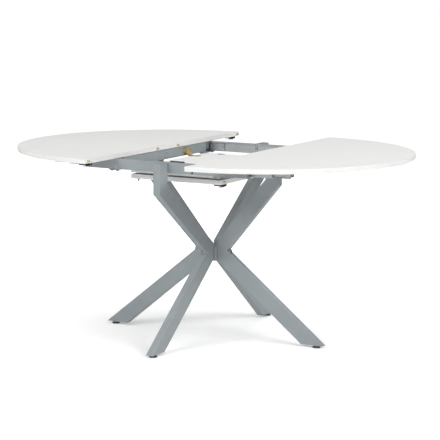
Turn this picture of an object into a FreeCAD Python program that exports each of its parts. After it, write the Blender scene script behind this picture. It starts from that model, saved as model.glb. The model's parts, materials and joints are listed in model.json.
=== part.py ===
"""Extendable round dining table on four K-shaped legs, with a folding leaf stored under the top.

Millimetres. X is the way the two halves of the top slide, Y runs along the gap between them,
Z is up. The origin is on the floor, under the middle of the table. The table stands open, with
the leaf folded away between the rails.
"""
import FreeCAD
import Part
import Sketcher
import os
import re

SIZES = {
    # the top and the leaf
    "table_height": 760,
    "top_diameter": 1200,
    "top_thickness": 18,
    "rim_radius": 1.5,
    "split_edge_radius": 0.5,
    "opening": 433,
    "leaf_width": 400,
    "leaf_drop": 43.5,
    "leaf_fold_gap": 6,
    "leaf_edge_radius": 1,
    "leaf_side_clearance": 20,
    "leaf_end_clearance": 22.5,
    # the rails
    "rail_gap": 2,
    "rail_height": 40,
    "rail_width": 20,
    "rail_wall": 1.5,
    "rail_corner_radius": 2,
    "rail_overhang": 52,
    "cap_thickness": 2,
    "cap_plug": 14,
    "cap_play": 0.2,
    "corner_plate_thickness": 4,
    "corner_plate_margin": 10,
    "corner_plate_reach": 90,
    "corner_bolt_radius": 3,
    "corner_bolt_head_radius": 6,
    "corner_bolt_head": 3.5,
    "corner_bolt_length": 16,
    # the legs
    "tube_depth": 60,
    "tube_width": 30,
    "leg_wall": 2,
    "leg_corner_radius": 3,
    "plate_thickness": 3,
    "side_kink_drop": 100,
    "front_kink_drop": 104,
    "waist_reach": 28,
    "waist_height": 348,
    "foot_reach": 462,
    "foot_height": 10,
    "leg_screw_radius": 3,
    "leg_screw_head_radius": 5.5,
    "leg_screw_head": 3,
    "leg_screw_spacing": 18,
    "leg_screw_bite": 10,
    # the hub
    "hub_side": 54,
    "hub_wall": 3,
    "hub_corner_radius": 4,
    "hub_length": 50,
    "hub_centre_height": 338,
    "hub_plate": 4,
    "hub_bolt_radius": 4,
    "hub_bolt_head_radius": 7,
    "hub_bolt_head": 5,
    "hub_bolt_tip": 16,
    "bush_radius": 9.5,
    "bush_seat": 74,
    "bush_end": 81,
    "bush_play": 0.6,
    # the levelling feet
    "leveller_reach": 464,
    "pad_radius": 16,
    "pad_neck_radius": 12.5,
    "pad_rim": 4,
    "pad_height": 7,
    "stud_radius": 4,
    "stud_seat": 3,
    "stud_top": 27,
    "thread_play": 0.05,
    "nut_radius": 5.5,
    "nut_length": 13,
    "nut_flange_radius": 8,
    "nut_flange": 1.5,
    # the slides and the runners
    "slide_end_gap": 0.5,
    "slide_length": 300,
    "slide_depth": 12.5,
    "slide_metal": 1.2,
    "slide_half_height": 18,
    "slide_step": 2.6,
    "middle_web_depth": 3.6,
    "slide_lip_depth": 11.5,
    "inner_lip_depth": 5.6,
    "middle_share": 0.67,
    "runner_width": 25,
    "runner_height": 30,
    "runner_wall": 1.5,
    "runner_corner_radius": 2,
    "runner_clearance": 2.5,
    "slide_screw_radius": 2,
    "slide_screw_head_radius": 3.5,
    "slide_screw_head": 1.9,
    "slide_screw_bite": 6,
    "slide_screw_near": 69,
    "slide_screw_far": 240,
    "access_hole_radius": 3.5,
    "access_hole_pitch": 21,
    "runner_screw_radius": 2.5,
    "runner_screw_head_radius": 5,
    "runner_screw_head": 2.5,
    "runner_screw_bite": 12,
    "runner_screw_margin": 30,
    # the alignment pins
    "pin_radius": 4,
    "pin_play": 0.3,
    "pin_reach": 10,
    "pin_taper": 2,
    "pin_bite": 20,
    "pin_hole_depth": 12,
    "pin_inner_place": 80,
    "pin_outer_margin": 20,
    # the latches
    "latch_margin": 40,
    "latch_length": 44,
    "latch_width": 22,
    "latch_height": 9,
    "latch_setback": 2,
    "lever_pivot_setback": 12,
    "lever_length": 28,
    "lever_width": 12,
    "lever_thickness": 2.5,
    "lever_play": 0.3,
    "hook_play": 0.6,
    "rivet_radius": 2.5,
    "rivet_play": 0.1,
    "rivet_head_radius": 4.5,
    "rivet_head": 1.5,
    "rivet_depth": 6,
    "catch_length": 80,
    "catch_thickness": 3.5,
    "catch_stud_place": 10,
    "catch_stud_radius": 3,
    "catch_stud_length": 13,
    "small_screw_radius": 1.75,
    "small_screw_head_radius": 3.5,
    "small_screw_head": 1.5,
    "small_screw_bite": 10,
    # the leaf pivots
    "pivot_plate_thickness": 2.5,
    "pivot_plate_front": 19,
    "pivot_plate_rear": 30,
    "pivot_plate_half_height": 11,
    "pivot_pin_radius": 5,
    "pivot_play": 0.1,
    "pivot_head_radius": 7.5,
    "pivot_head": 2.3,
    "pivot_shoulder_radius": 7,
    "pivot_side_play": 0.5,
    "stop_pin_radius": 3,
    "stop_pin_place": 22,
    "bracket_thickness": 3,
    "bracket_side_gap": 6,
    "bracket_eye_radius": 11,
    "bracket_foot_start": 2,
    "bracket_foot_end": 30,
    "bracket_foot_length": 44,
    "bracket_rear_drop": 10.5,
    # the fold hinges and the pull handle
    "fold_hinge_place": 128,
    "hinge_cup_radius": 18,
    "hinge_cup_depth": 11.5,
    "hinge_cup_setback": 12,
    "hinge_pocket_radius": 8,
    "hinge_pocket_depth": 9,
    "hinge_link_start": 3,
    "hinge_link_width": 12,
    "hinge_link_thickness": 5,
    "handle_length": 60,
    "handle_width": 14,
    "handle_height": 35.5,
    "handle_bar": 6,
    "handle_post": 10,
    "handle_setback": 8,
}

# Places that several pieces share, as formulas in the sizes above.
TOP_UNDER = "(table_height - top_thickness)"
RAIL_TOP = f"({TOP_UNDER} - rail_gap)"
RAIL_LOW = f"({RAIL_TOP} - rail_height)"
RAIL_MIDDLE = f"({RAIL_TOP} - rail_height / 2)"
LEAF_LENGTH = "(top_diameter / 2)"
RUNNER_IN = f"({LEAF_LENGTH} / 2 + leaf_end_clearance)"
RUNNER_OUT = f"({RUNNER_IN} + runner_width)"
RAIL_IN = f"({RUNNER_OUT} + slide_depth)"
RAIL_OUT = f"({RAIL_IN} + rail_width)"
SLIDE_START = "(leg_screw_head_radius + slide_end_gap)"
RAIL_HALF = f"({SLIDE_START} + slide_length + rail_overhang)"
CROSS_IN = "(leaf_width / 2 + leaf_side_clearance)"
CROSS_OUT = f"({CROSS_IN} + rail_width)"
CROSS_HALF = f"({RUNNER_IN} - runner_clearance)"
SPLIT = "(opening / 2)"
UPPER_TOP = f"({TOP_UNDER} - leaf_drop)"
UPPER_LOW = f"({UPPER_TOP} - top_thickness)"
LOWER_TOP = f"({UPPER_LOW} - leaf_fold_gap)"
LOWER_LOW = f"({LOWER_TOP} - top_thickness)"
PIVOT_HEIGHT = f"({TOP_UNDER} - leaf_drop / 2)"
PIVOT_PLACE = f"({LEAF_LENGTH} / 4)"
LATCH_PLACE = "(top_diameter / 2 - latch_margin)"
PIN_PLACES = ["pin_inner_place", "(top_diameter / 2 - pin_outer_margin)"]
# the folded leaf lies half its length in front of where it will lie in the open table
STORED_LATCH = f"({LEAF_LENGTH} / 2 - {LATCH_PLACE})"

SIDES = {"left": -1, "right": 1}
ENDS = {"front": -1, "back": 1}

doc = FreeCAD.newDocument("ExtendableTable")
sheet = doc.addObject("Spreadsheet::Sheet", "sizes")
nodes = []


def fill_sheet():
    """Writes every driving size to the sheet, one row each."""
    for row, (alias, value) in enumerate(SIZES.items(), 1):
        sheet.set(f"A{row}", alias.replace("_", " "))
        sheet.set(f"B{row}", str(value))
        sheet.setAlias(f"B{row}", alias)
    doc.recompute()


def formula(text):
    """The text with each size's name pointing at its cell."""
    return re.sub(r"[a-z][a-z_]+", lambda m: f"sizes.{m[0]}" if m[0] in SIZES else m[0], str(text))


def number(text):
    """What a formula comes to now, as a plain number."""
    value = sheet.evalExpression(formula(text))
    return float(getattr(value, "Value", value))


def bind(thing, name, text):
    """Ties one property of a document object to a formula."""
    thing.setExpression(name, formula(text))


def place(thing, x=0, y=0, z=0, turn=None):
    """Puts an object at a bound place, turned by a fixed rotation."""
    if turn:
        thing.Placement = FreeCAD.Placement(FreeCAD.Vector(), turn)
    for axis, text in zip("xyz", (x, y, z)):
        bind(thing, f"Placement.Base.{axis}", text)


def node(thing, label):
    """Marks an object as one sub-part of the table."""
    thing.Label = label
    nodes.append(thing)
    return thing


def block(name, x, y, z):
    """A box between a low and a high formula on each axis."""
    box = doc.addObject("Part::Box", name)
    for side, (low, high) in zip(("Length", "Width", "Height"), (x, y, z)):
        bind(box, side, f"({high}) - ({low})")
    place(box, x[0], y[0], z[0])
    return box


TURNS = {
    "X": FreeCAD.Rotation(FreeCAD.Vector(0, 1, 0), 90),
    "Y": FreeCAD.Rotation(FreeCAD.Vector(1, 0, 0), -90),
    "Z": FreeCAD.Rotation(),
}


def rod(name, axis, centre, span, radius, end_radius=None):
    """A cylinder along an axis, or a cone when it has an end radius. The span's low end comes first."""
    low, high = span
    x, y, z = {
        "X": (low, *centre),
        "Y": (centre[0], low, centre[1]),
        "Z": (*centre, low),
    }[axis]
    if end_radius is None:
        solid = doc.addObject("Part::Cylinder", name)
        bind(solid, "Radius", radius)
    else:
        solid = doc.addObject("Part::Cone", name)
        bind(solid, "Radius1", radius)
        bind(solid, "Radius2", end_radius)
    bind(solid, "Height", f"({high}) - ({low})")
    place(solid, x, y, z, TURNS[axis])
    return solid


def ordered(first, second, way):
    """A span whose first end is the low one when way is 1 and the high one when way is -1."""
    return (first, second) if way > 0 else (second, first)


def mirrored(low, high, way):
    """The span from low to high, on the side that way gives."""
    return ordered(f"{way} * ({low})", f"{way} * ({high})", way)


def join(name, pieces):
    fused = doc.addObject("Part::MultiFuse", name)
    fused.Shapes = pieces
    fused.Refine = True
    return fused


def group(name, pieces):
    """Several separate solids kept together."""
    together = doc.addObject("Part::Compound", name)
    together.Links = pieces
    return together


def cut(name, base, tools):
    carved = doc.addObject("Part::Cut", name)
    carved.Base = base
    carved.Tool = tools[0] if len(tools) == 1 else group(name + "_tools", tools)
    carved.Refine = True
    return carved


def screw(name, axis, centre, seat, way, kind, bite):
    """A screw whose head stands on the seat and whose shank goes the way given, by its bite.

    kind names the sizes of its radius, head radius and head height.
    """
    head = rod(
        name + "_head",
        axis,
        centre,
        ordered(f"({seat}) - {way} * {kind}_head", seat, way),
        f"{kind}_head_radius",
    )
    shank = rod(
        name + "_shank",
        axis,
        centre,
        ordered(seat, f"({seat}) + {way} * ({bite})", way),
        f"{kind}_radius",
    )
    socket = rod(
        name + "_socket",
        axis,
        centre,
        ordered(f"({seat}) - {way} * {kind}_head", f"({seat}) - {way} * {kind}_head * 0.4", way),
        f"{kind}_radius * 0.8",
    )
    return cut(name, join(name + "_blank", [head, shank]), [socket])


def hole(name, axis, centre, seat, way, kind, bite):
    """The hole for such a screw's shank."""
    span = ordered(seat, f"({seat}) + {way} * ({bite})", way)
    return rod(name, axis, centre, span, f"{kind}_radius")


def new_body(name, x=0, y=0, z=0):
    body = doc.addObject("PartDesign::Body", name)
    place(body, x, y, z)
    return body


def sketch_on(body, name, role):
    sketch = body.newObject("Sketcher::SketchObject", name)
    flat = next(f for f in body.Origin.OriginFeatures if f.Role == role)
    sketch.AttachmentSupport = [(flat, "")]
    sketch.MapMode = "FlatFace"
    return sketch


def pin_point(sketch, geometry, point, name, u, v):
    """Holds one point of a sketch at a bound place."""
    for kind, letter, text in (("DistanceX", "u", u), ("DistanceY", "v", v)):
        index = sketch.addConstraint(
            Sketcher.Constraint(kind, -1, 1, geometry, point, number(text))
        )
        sketch.renameConstraint(index, letter + name)
        bind(sketch, f"Constraints.{letter}{name}", text)


def draw_polygon(sketch, corners, closed=True):
    """Lines through bound corners, each corner written as two formulas."""
    start = sketch.GeometryCount
    points = [FreeCAD.Vector(number(u), number(v), 0) for u, v in corners]
    count = len(points) if closed else len(points) - 1
    for k in range(count):
        sketch.addGeometry(Part.LineSegment(points[k], points[(k + 1) % len(points)]))
    for k in range(count):
        following = (k + 1) % count
        if closed or following:
            sketch.addConstraint(
                Sketcher.Constraint("Coincident", start + k, 2, start + following, 1)
            )
        pin_point(sketch, start + k, 1, f"p{start + k}", *corners[k])
    if not closed:
        pin_point(sketch, start + count - 1, 2, "end", *corners[-1])


def rectangle(low_u, high_u, low_v, high_v):
    return [(low_u, low_v), (high_u, low_v), (high_u, high_v), (low_u, high_v)]


def draw_rounded_rectangle(sketch, low_u, high_u, low_v, high_v, radius):
    """A rectangle with rounded corners: four bound sides joined by four arcs."""
    start = sketch.GeometryCount
    left, right = f"({low_u}) + {radius}", f"({high_u}) - {radius}"
    bottom, top = f"({low_v}) + {radius}", f"({high_v}) - {radius}"
    sides = [
        ((left, low_v), (right, low_v)),
        ((high_u, bottom), (high_u, top)),
        ((right, high_v), (left, high_v)),
        ((low_u, top), (low_u, bottom)),
    ]
    centres = [(right, bottom), (right, top), (left, top), (left, bottom)]
    for ends in sides:
        points = [FreeCAD.Vector(number(u), number(v), 0) for u, v in ends]
        sketch.addGeometry(Part.LineSegment(*points))
    quarter = FreeCAD.Units.Quantity("90 deg").getValueAs("rad").Value
    for k, (u, v) in enumerate(centres):
        middle = FreeCAD.Vector(number(u), number(v), 0)
        circle = Part.Circle(middle, FreeCAD.Vector(0, 0, 1), number(radius))
        sketch.addGeometry(Part.ArcOfCircle(circle, (k - 1) * quarter, k * quarter))
    for k, ends in enumerate(sides):
        side, arc = start + k, start + 4 + k
        pin_point(sketch, side, 1, f"a{side}", *ends[0])
        pin_point(sketch, side, 2, f"b{side}", *ends[1])
        sketch.addConstraint(Sketcher.Constraint("Coincident", arc, 1, side, 2))
        sketch.addConstraint(Sketcher.Constraint("Coincident", arc, 2, start + (k + 1) % 4, 1))
        index = sketch.addConstraint(Sketcher.Constraint("Radius", arc, number(radius)))
        sketch.renameConstraint(index, f"radius{arc}")
        bind(sketch, f"Constraints.radius{arc}", radius)


def pad(body, sketch, length, both_ways=False):
    feature = body.newObject("PartDesign::Pad", sketch.Name + "_pad")
    feature.Profile = sketch
    feature.SideType = "Symmetric" if both_ways else "One side"
    bind(feature, "Length", length)
    body.Tip = feature
    return feature


def fillet(body, feature, radius, wanted):
    """Rounds the edges of a feature that the test picks."""
    doc.recompute()
    names = [f"Edge{k}" for k, edge in enumerate(feature.Shape.Edges, 1) if wanted(edge)]
    rounded = body.newObject("PartDesign::Fillet", feature.Name + "_round")
    rounded.Base = (feature, names)
    bind(rounded, "Radius", radius)
    body.Tip = rounded
    return rounded


def draw_tube(sketch, low_u, high_u, low_v, high_v, kind):
    """The outline of a rectangular tube. kind names the sizes of its wall and corner radius."""
    draw_rounded_rectangle(sketch, low_u, high_u, low_v, high_v, f"{kind}_corner_radius")
    wall = f"{kind}_wall"
    draw_polygon(
        sketch,
        rectangle(
            f"{low_u} + {wall}", f"{high_u} - {wall}", f"{low_v} + {wall}", f"{high_v} - {wall}"
        ),
    )


def tube_body(name, role, low_u, high_u, low_v, high_v, kind, length):
    """A straight tube padded equally both ways from an origin plane."""
    body = new_body(name)
    sketch = sketch_on(body, name + "_outline", role)
    draw_tube(sketch, low_u, high_u, low_v, high_v, kind)
    pad(body, sketch, length, both_ways=True)
    return body


# ---------------------------------------------------------------- legs and hub
def leg_tube(name, arm_reach, kink_height):
    """One mitred rectangular tube: down the arm, in to the waist and out past the floor."""
    body = new_body(name)
    path = sketch_on(body, name + "_path", "XZ_Plane")
    below = "foot_reach + foot_reach / 10"
    corners = [
        (arm_reach, RAIL_TOP),
        (arm_reach, kink_height),
        ("waist_reach", "waist_height"),
        (below, "-waist_height * (foot_reach / 10) / (foot_reach - waist_reach)"),
    ]
    draw_polygon(path, corners, closed=False)
    section = sketch_on(body, name + "_section", "XY_Plane")
    bind(section, "AttachmentOffset.Base.z", RAIL_TOP)
    low, high = f"({arm_reach} - tube_depth / 2)", f"({arm_reach} + tube_depth / 2)"
    draw_tube(section, low, high, "-tube_width / 2", "tube_width / 2", "leg")
    doc.recompute()
    pipe = body.newObject("PartDesign::AdditivePipe", name + "_pipe")
    pipe.Profile = section
    pipe.Spine = path
    pipe.Transition = "Right corner"
    body.Tip = pipe
    return body


def leg(name, arm_reach, kink_height, turn):
    """A leg in its own plane, closed by plates set into the arm, the hub end and the foot, then turned."""
    half = "(tube_width - leg_wall) / 2"
    lower_slope = "(waist_height / (foot_reach - waist_reach))"
    upper_slope = f"(({kink_height} - waist_height) / ({arm_reach} - waist_reach))"
    lower_rise = f"(tube_depth / 2 * sqrt(1 + {lower_slope} ^ 2))"
    upper_rise = f"(tube_depth / 2 * sqrt(1 + {upper_slope} ^ 2))"
    hub_face = "(hub_side / 2)"
    face_low = f"(waist_height + ({lower_slope}) * (waist_reach - {hub_face}) - {lower_rise})"
    face_high = f"(waist_height - {upper_slope} * (waist_reach - {hub_face}) + {upper_rise})"
    foot_middle = f"(foot_reach - foot_height / {lower_slope})"
    foot_half = f"({lower_rise} / {lower_slope})"
    foot_wall = f"(leg_wall * {foot_half} / tube_depth * 2)"
    foot_in = f"({foot_middle} - {foot_half} + {foot_wall} / 2)"
    foot_out = f"({foot_middle} + {foot_half} - {foot_wall} / 2 - plate_thickness / {lower_slope})"

    below_floor = block(
        name + "_below",
        (0, "foot_reach * 2"),
        ("-tube_width", "tube_width"),
        ("-waist_height", "foot_height"),
    )
    inside_hub = block(
        name + "_inside",
        ("-tube_depth * 2", hub_face),
        ("-tube_width", "tube_width"),
        (0, "table_height"),
    )
    tube = leg_tube(name + "_tube", arm_reach, kink_height)
    trimmed = cut(name + "_trimmed", tube, [below_floor, inside_hub])
    arm_plate = block(
        name + "_arm_plate",
        (
            f"{arm_reach} - (tube_depth - leg_wall) / 2",
            f"{arm_reach} + (tube_depth - leg_wall) / 2",
        ),
        (f"-{half}", half),
        (f"{RAIL_TOP} - plate_thickness", RAIL_TOP),
    )
    hub_plate = block(
        name + "_hub_plate",
        (hub_face, f"{hub_face} + plate_thickness"),
        (f"-{half}", half),
        (f"{face_low} + leg_wall", f"{face_high} - leg_wall"),
    )
    foot_plate = block(
        name + "_foot_plate",
        (foot_in, foot_out),
        (f"-{half}", half),
        ("foot_height", "foot_height + plate_thickness"),
    )
    waist = (0, "waist_height")
    bush = rod(name + "_bush", "X", waist, (hub_face, "bush_end"), "bush_radius")
    welded = join(name + "_welded", [trimmed, arm_plate, hub_plate, foot_plate, bush])
    bolt_hole = rod(name + "_bolt_hole", "X", waist, (0, "bush_end + 1"), "hub_bolt_radius")
    seat_hole = rod(
        name + "_seat_hole",
        "X",
        waist,
        ("bush_seat", "bush_seat + tube_depth"),
        "hub_bolt_head_radius + bush_play",
    )
    nut_hole = rod(
        name + "_nut_hole",
        "Z",
        ("leveller_reach", 0),
        (0, "foot_height + plate_thickness + 1"),
        "nut_radius",
    )
    tools = [bolt_hole, seat_hole, nut_hole]
    for way in (-1, 1):
        height = f"{RAIL_MIDDLE} + {way} * leg_screw_spacing / 2"
        inner_face = f"({arm_reach} - tube_depth / 2)"
        span = (f"{inner_face} - 1", f"{inner_face} + leg_wall + 1")
        tools.append(
            rod(f"{name}_screw_hole{way + 1}", "X", (0, height), span, "leg_screw_radius")
        )
    finished = cut(name + "_finished", welded, tools)
    finished.Placement = FreeCAD.Placement(
        FreeCAD.Vector(), FreeCAD.Rotation(FreeCAD.Vector(0, 0, 1), turn)
    )
    return node(finished, name)


def make_legs():
    side_reach = f"({CROSS_OUT} + tube_depth / 2)"
    front_reach = f"({RAIL_OUT} + tube_depth / 2)"
    side_kink = f"({RAIL_TOP} - side_kink_drop)"
    front_kink = f"({RAIL_TOP} - front_kink_drop)"
    leg("leg_right", side_reach, side_kink, 0)
    leg("leg_back", front_reach, front_kink, 90)
    leg("leg_left", side_reach, side_kink, 180)
    leg("leg_front", front_reach, front_kink, 270)


def make_hub():
    """The square tube that the four waists are bolted to, its two end plates and its bolts."""
    low = "(hub_centre_height - hub_length / 2)"
    high = "(hub_centre_height + hub_length / 2)"
    half = "(hub_side / 2)"
    tube = tube_body("hub_tube_body", "XY_Plane", f"-{half}", half, f"-{half}", half, "hub", "hub_length")
    place(tube, 0, 0, "hub_centre_height")
    bolt_holes = [
        rod("hub_hole_x", "X", (0, "waist_height"), (f"-{half} - 1", f"{half} + 1"), "hub_bolt_radius"),
        rod("hub_hole_y", "Y", (0, "waist_height"), (f"-{half} - 1", f"{half} + 1"), "hub_bolt_radius"),
    ]
    node(cut("hub_tube_cut", tube, bolt_holes), "hub_tube")

    plates = []
    for label, bottom, top in (
        ("low", f"{low} - hub_plate", low),
        ("high", high, f"{high} + hub_plate"),
    ):
        plate = block(f"hub_plate_{label}", (f"-{half}", half), (f"-{half}", half), (bottom, top))
        bore = rod(f"hub_bore_{label}", "Z", (0, 0), (bottom, top), "hub_bolt_radius")
        plates.append(cut(f"hub_plate_{label}_cut", plate, [bore]))
    node(group("hub_plates_group", plates), "hub_end_plates")

    bolts = []
    for axis, tag in (("X", "x"), ("Y", "y")):
        for way in (-1, 1):
            name = f"hub_bolt_{tag}{way + 1}"
            seat = f"{way} * bush_seat"
            bite = "bush_seat - hub_bolt_tip"
            bolts.append(screw(name, axis, (0, "waist_height"), seat, -way, "hub_bolt", bite))
    tie_bite = "hub_length + 2 * hub_plate + hub_bolt_head"
    tie = screw("hub_tie", "Z", (0, 0), f"{high} + hub_plate", -1, "hub_bolt", tie_bite)
    nut_span = (f"{low} - hub_plate - hub_bolt_head", f"{low} - hub_plate")
    tie_nut = rod("hub_tie_nut", "Z", (0, 0), nut_span, "hub_bolt_head_radius")
    nut_bore = rod("hub_tie_bore", "Z", (0, 0), nut_span, "hub_bolt_radius")
    bolts += [tie, cut("hub_tie_nut_cut", tie_nut, [nut_bore])]
    node(group("hub_bolts_group", bolts), "hub_bolts")


def make_levellers():
    """Four screw-in feet, each a plastic pad on a steel stud in a flanged rivet nut."""
    nuts = []
    for label, x, y in (
        ("right", 1, 0),
        ("back", 0, 1),
        ("left", -1, 0),
        ("front", 0, -1),
    ):
        centre = (f"{x} * leveller_reach", f"{y} * leveller_reach")
        rim = rod(f"pad_rim_{label}", "Z", centre, (0, "pad_rim"), "pad_radius")
        neck = rod(
            f"pad_neck_{label}",
            "Z",
            centre,
            ("pad_rim", "pad_height"),
            "pad_radius",
            "pad_neck_radius",
        )
        seat = rod(f"pad_seat_{label}", "Z", centre, ("stud_seat", "pad_height"), "stud_radius")
        pad_blank = join(f"pad_blank_{label}", [rim, neck])
        node(cut(f"pad_{label}", pad_blank, [seat]), f"leveller_pad_{label}")
        stud = rod(f"stud_{label}", "Z", centre, ("stud_seat", "stud_top"), "stud_radius")
        node(stud, f"leveller_stud_{label}")

        flange_span = ("foot_height - nut_flange", "foot_height")
        barrel_span = ("foot_height", "foot_height + nut_length")
        flange = rod(f"nut_flange_{label}", "Z", centre, flange_span, "nut_flange_radius")
        barrel = rod(f"nut_barrel_{label}", "Z", centre, barrel_span, "nut_radius")
        bore = rod(
            f"nut_bore_{label}",
            "Z",
            centre,
            (0, "foot_height + nut_length"),
            "stud_radius + thread_play",
        )
        nuts.append(cut(f"nut_{label}", join(f"nut_blank_{label}", [flange, barrel]), [bore]))
    node(group("foot_nuts_group", nuts), "foot_nuts")


# ---------------------------------------------------------------- rails
def slide_screw_places(way):
    """Where the screws of one fixed slide member stand along the rail."""
    return [f"{way} * ({SLIDE_START} + {place})" for place in ("slide_screw_near", "slide_screw_far")]


def corner_bolt_places(side, end):
    """The four bolts of one corner plate: two up into the cross rail, two into the long rail."""
    cross_x = f"{side} * ({CROSS_IN} + rail_width / 2)"
    long_y = f"{end} * ({RAIL_IN} + rail_width / 2)"
    return [
        (cross_x, f"{end} * ({CROSS_HALF} - corner_bolt_head_radius * 1.2)"),
        (cross_x, f"{end} * ({CROSS_HALF} - corner_bolt_head_radius * 3.6)"),
        (f"{side} * ({CROSS_IN} - corner_bolt_head_radius / 3)", long_y),
        (f"{side} * ({CROSS_OUT} + corner_bolt_head_radius / 3)", long_y),
    ]


def make_long_rails():
    for label, end in ENDS.items():
        low, high = mirrored(RAIL_IN, RAIL_OUT, end)
        name = f"long_rail_{label}_body"
        rail = tube_body(name, "YZ_Plane", low, high, RAIL_LOW, RAIL_TOP, "rail", f"2 * {RAIL_HALF}")
        tools = []
        for way in (-1, 1):
            height = f"{RAIL_MIDDLE} + {way} * leg_screw_spacing / 2"
            span = mirrored(f"{RAIL_IN} - 1", f"{RAIL_OUT} + 1", end)
            tools.append(
                rod(f"long_{label}_leg_hole{way + 1}", "Y", (0, height), span, "leg_screw_radius")
            )
            for k, x in enumerate(slide_screw_places(way)):
                span = mirrored(f"{RAIL_IN} - 1", f"{RAIL_IN} + rail_wall + 1", end)
                name = f"long_{label}_slide_hole{way + 1}{k}"
                tools.append(rod(name, "Y", (x, RAIL_MIDDLE), span, "slide_screw_radius"))
            for k, centre in enumerate(corner_bolt_places(way, end)[2:]):
                span = (f"{RAIL_LOW} - 1", f"{RAIL_LOW} + rail_wall + 1")
                name = f"long_{label}_corner_hole{way + 1}{k}"
                tools.append(rod(name, "Z", centre, span, "corner_bolt_radius"))
        node(cut(f"long_rail_{label}_cut", rail, tools), f"long_rail_{label}")


def make_cross_rails():
    for label, side in SIDES.items():
        low, high = mirrored(CROSS_IN, CROSS_OUT, side)
        name = f"cross_rail_{label}_body"
        rail = tube_body(name, "XZ_Plane", low, high, RAIL_LOW, RAIL_TOP, "rail", f"2 * {CROSS_HALF}")
        tools = []
        for way in (-1, 1):
            height = f"{RAIL_MIDDLE} + {way} * leg_screw_spacing / 2"
            span = mirrored(f"{CROSS_IN} - 1", f"{CROSS_OUT} + 1", side)
            tools.append(
                rod(f"cross_{label}_leg_hole{way + 1}", "X", (0, height), span, "leg_screw_radius")
            )
            for k, centre in enumerate(corner_bolt_places(side, way)[:2]):
                span = (f"{RAIL_LOW} - 1", f"{RAIL_LOW} + rail_wall + 1")
                name = f"cross_{label}_corner_hole{way + 1}{k}"
                tools.append(rod(name, "Z", centre, span, "corner_bolt_radius"))
        wall = mirrored(f"{CROSS_IN} - 1", f"{CROSS_IN} + rail_wall + 1", side)
        pivot = (PIVOT_PLACE, PIVOT_HEIGHT)
        tools.append(rod(f"cross_{label}_pivot_hole", "X", pivot, wall, "pivot_pin_radius"))
        for k, y in enumerate(pivot_screw_places()):
            name = f"cross_{label}_plate_hole{k}"
            tools.append(rod(name, "X", (y, PIVOT_HEIGHT), wall, "slide_screw_radius"))
        node(cut(f"cross_rail_{label}_cut", rail, tools), f"cross_rail_{label}")


def make_corners():
    """The plates under the four corners of the frame, with their bolts."""
    plates, bolts = [], []
    plate_low = f"({RAIL_LOW} - corner_plate_thickness)"
    for side_name, side in SIDES.items():
        for end_name, end in ENDS.items():
            name = f"corner_{side_name}_{end_name}"
            x = mirrored(f"{CROSS_IN} - corner_plate_margin", f"{CROSS_OUT} + corner_plate_margin", side)
            y = mirrored(f"{RAIL_OUT} - corner_plate_reach", RAIL_OUT, end)
            plate = block(name + "_plate", x, y, (plate_low, RAIL_LOW))
            holes = []
            for k, centre in enumerate(corner_bolt_places(side, end)):
                bolt = f"{name}_bolt{k}"
                holes.append(
                    rod(bolt + "_hole", "Z", centre, (plate_low, RAIL_LOW), "corner_bolt_radius")
                )
                bolts.append(
                    screw(bolt, "Z", centre, plate_low, 1, "corner_bolt", "corner_bolt_length")
                )
            plates.append(cut(name + "_cut", plate, holes))
    node(group("corner_plates_group", plates), "corner_plates")
    node(group("corner_bolts_group", bolts), "corner_bolts")


def end_cap(name, way, tube_end, y, z, wall):
    """A cap over the end of a tube along X, with a plug that goes inside it."""
    inset = f"({wall} + cap_play)"
    y_low, y_high = y
    z_low, z_high = z
    face_x = ordered(tube_end, f"({tube_end}) + {way} * cap_thickness", way)
    plug_x = ordered(f"({tube_end}) - {way} * cap_plug", tube_end, way)
    face = block(name + "_face", face_x, y, z)
    plug = block(
        name + "_plug",
        plug_x,
        (f"{y_low} + {inset}", f"{y_high} - {inset}"),
        (f"{z_low} + {inset}", f"{z_high} - {inset}"),
    )
    return join(name, [face, plug])


def make_rail_caps():
    caps = []
    for end_name, end in ENDS.items():
        for side_name, side in SIDES.items():
            name = f"rail_cap_{end_name}_{side_name}"
            y = mirrored(RAIL_IN, RAIL_OUT, end)
            caps.append(
                end_cap(name, side, f"{side} * {RAIL_HALF}", y, (RAIL_LOW, RAIL_TOP), "rail_wall")
            )
    node(group("rail_caps_group", caps), "rail_end_caps")


def make_leg_screws():
    """The screws that go out through the rails into the arms of the legs."""
    screws = []
    for way in (-1, 1):
        height = f"{RAIL_MIDDLE} + {way} * leg_screw_spacing / 2"
        for side in SIDES.values():
            seat = f"{side} * {CROSS_IN}"
            bite = "rail_width + leg_screw_bite"
            name = f"leg_screw_x{side + 1}{way + 1}"
            screws.append(screw(name, "X", (0, height), seat, side, "leg_screw", bite))
        for end in ENDS.values():
            seat = f"{end} * {RAIL_IN}"
            bite = "rail_width + leg_screw_bite"
            name = f"leg_screw_y{end + 1}{way + 1}"
            screws.append(screw(name, "Y", (0, height), seat, end, "leg_screw", bite))
    node(group("leg_screws_group", screws), "leg_screws")


# ---------------------------------------------------------------- slides and runners
def channel(web, lip, half_height, end):
    """A C section standing against a rail. Depths count inwards from the rail's inner face."""
    way = 1 if number(lip) > number(web) else -1

    def corner(depth, height):
        return (f"{end} * ({RAIL_IN} - ({depth}))", f"{RAIL_MIDDLE} + {height}")

    inner_web = f"{web} + {way} * slide_metal"
    inner_half = f"({half_height} - slide_metal)"
    return [
        corner(web, half_height),
        corner(lip, half_height),
        corner(lip, inner_half),
        corner(inner_web, inner_half),
        corner(inner_web, f"-{inner_half}"),
        corner(lip, f"-{inner_half}"),
        corner(lip, f"-{half_height}"),
        corner(web, f"-{half_height}"),
    ]


def slide_member(name, start, side, end, section):
    """One member of a slide, from its end nearest the middle of the table."""
    body = new_body(name, f"{side} * ({start})")
    sketch = sketch_on(body, name + "_outline", "YZ_Plane")
    draw_polygon(sketch, channel(*section, end))
    feature = pad(body, sketch, "slide_length")
    feature.Reversed = side < 0
    return body


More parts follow.
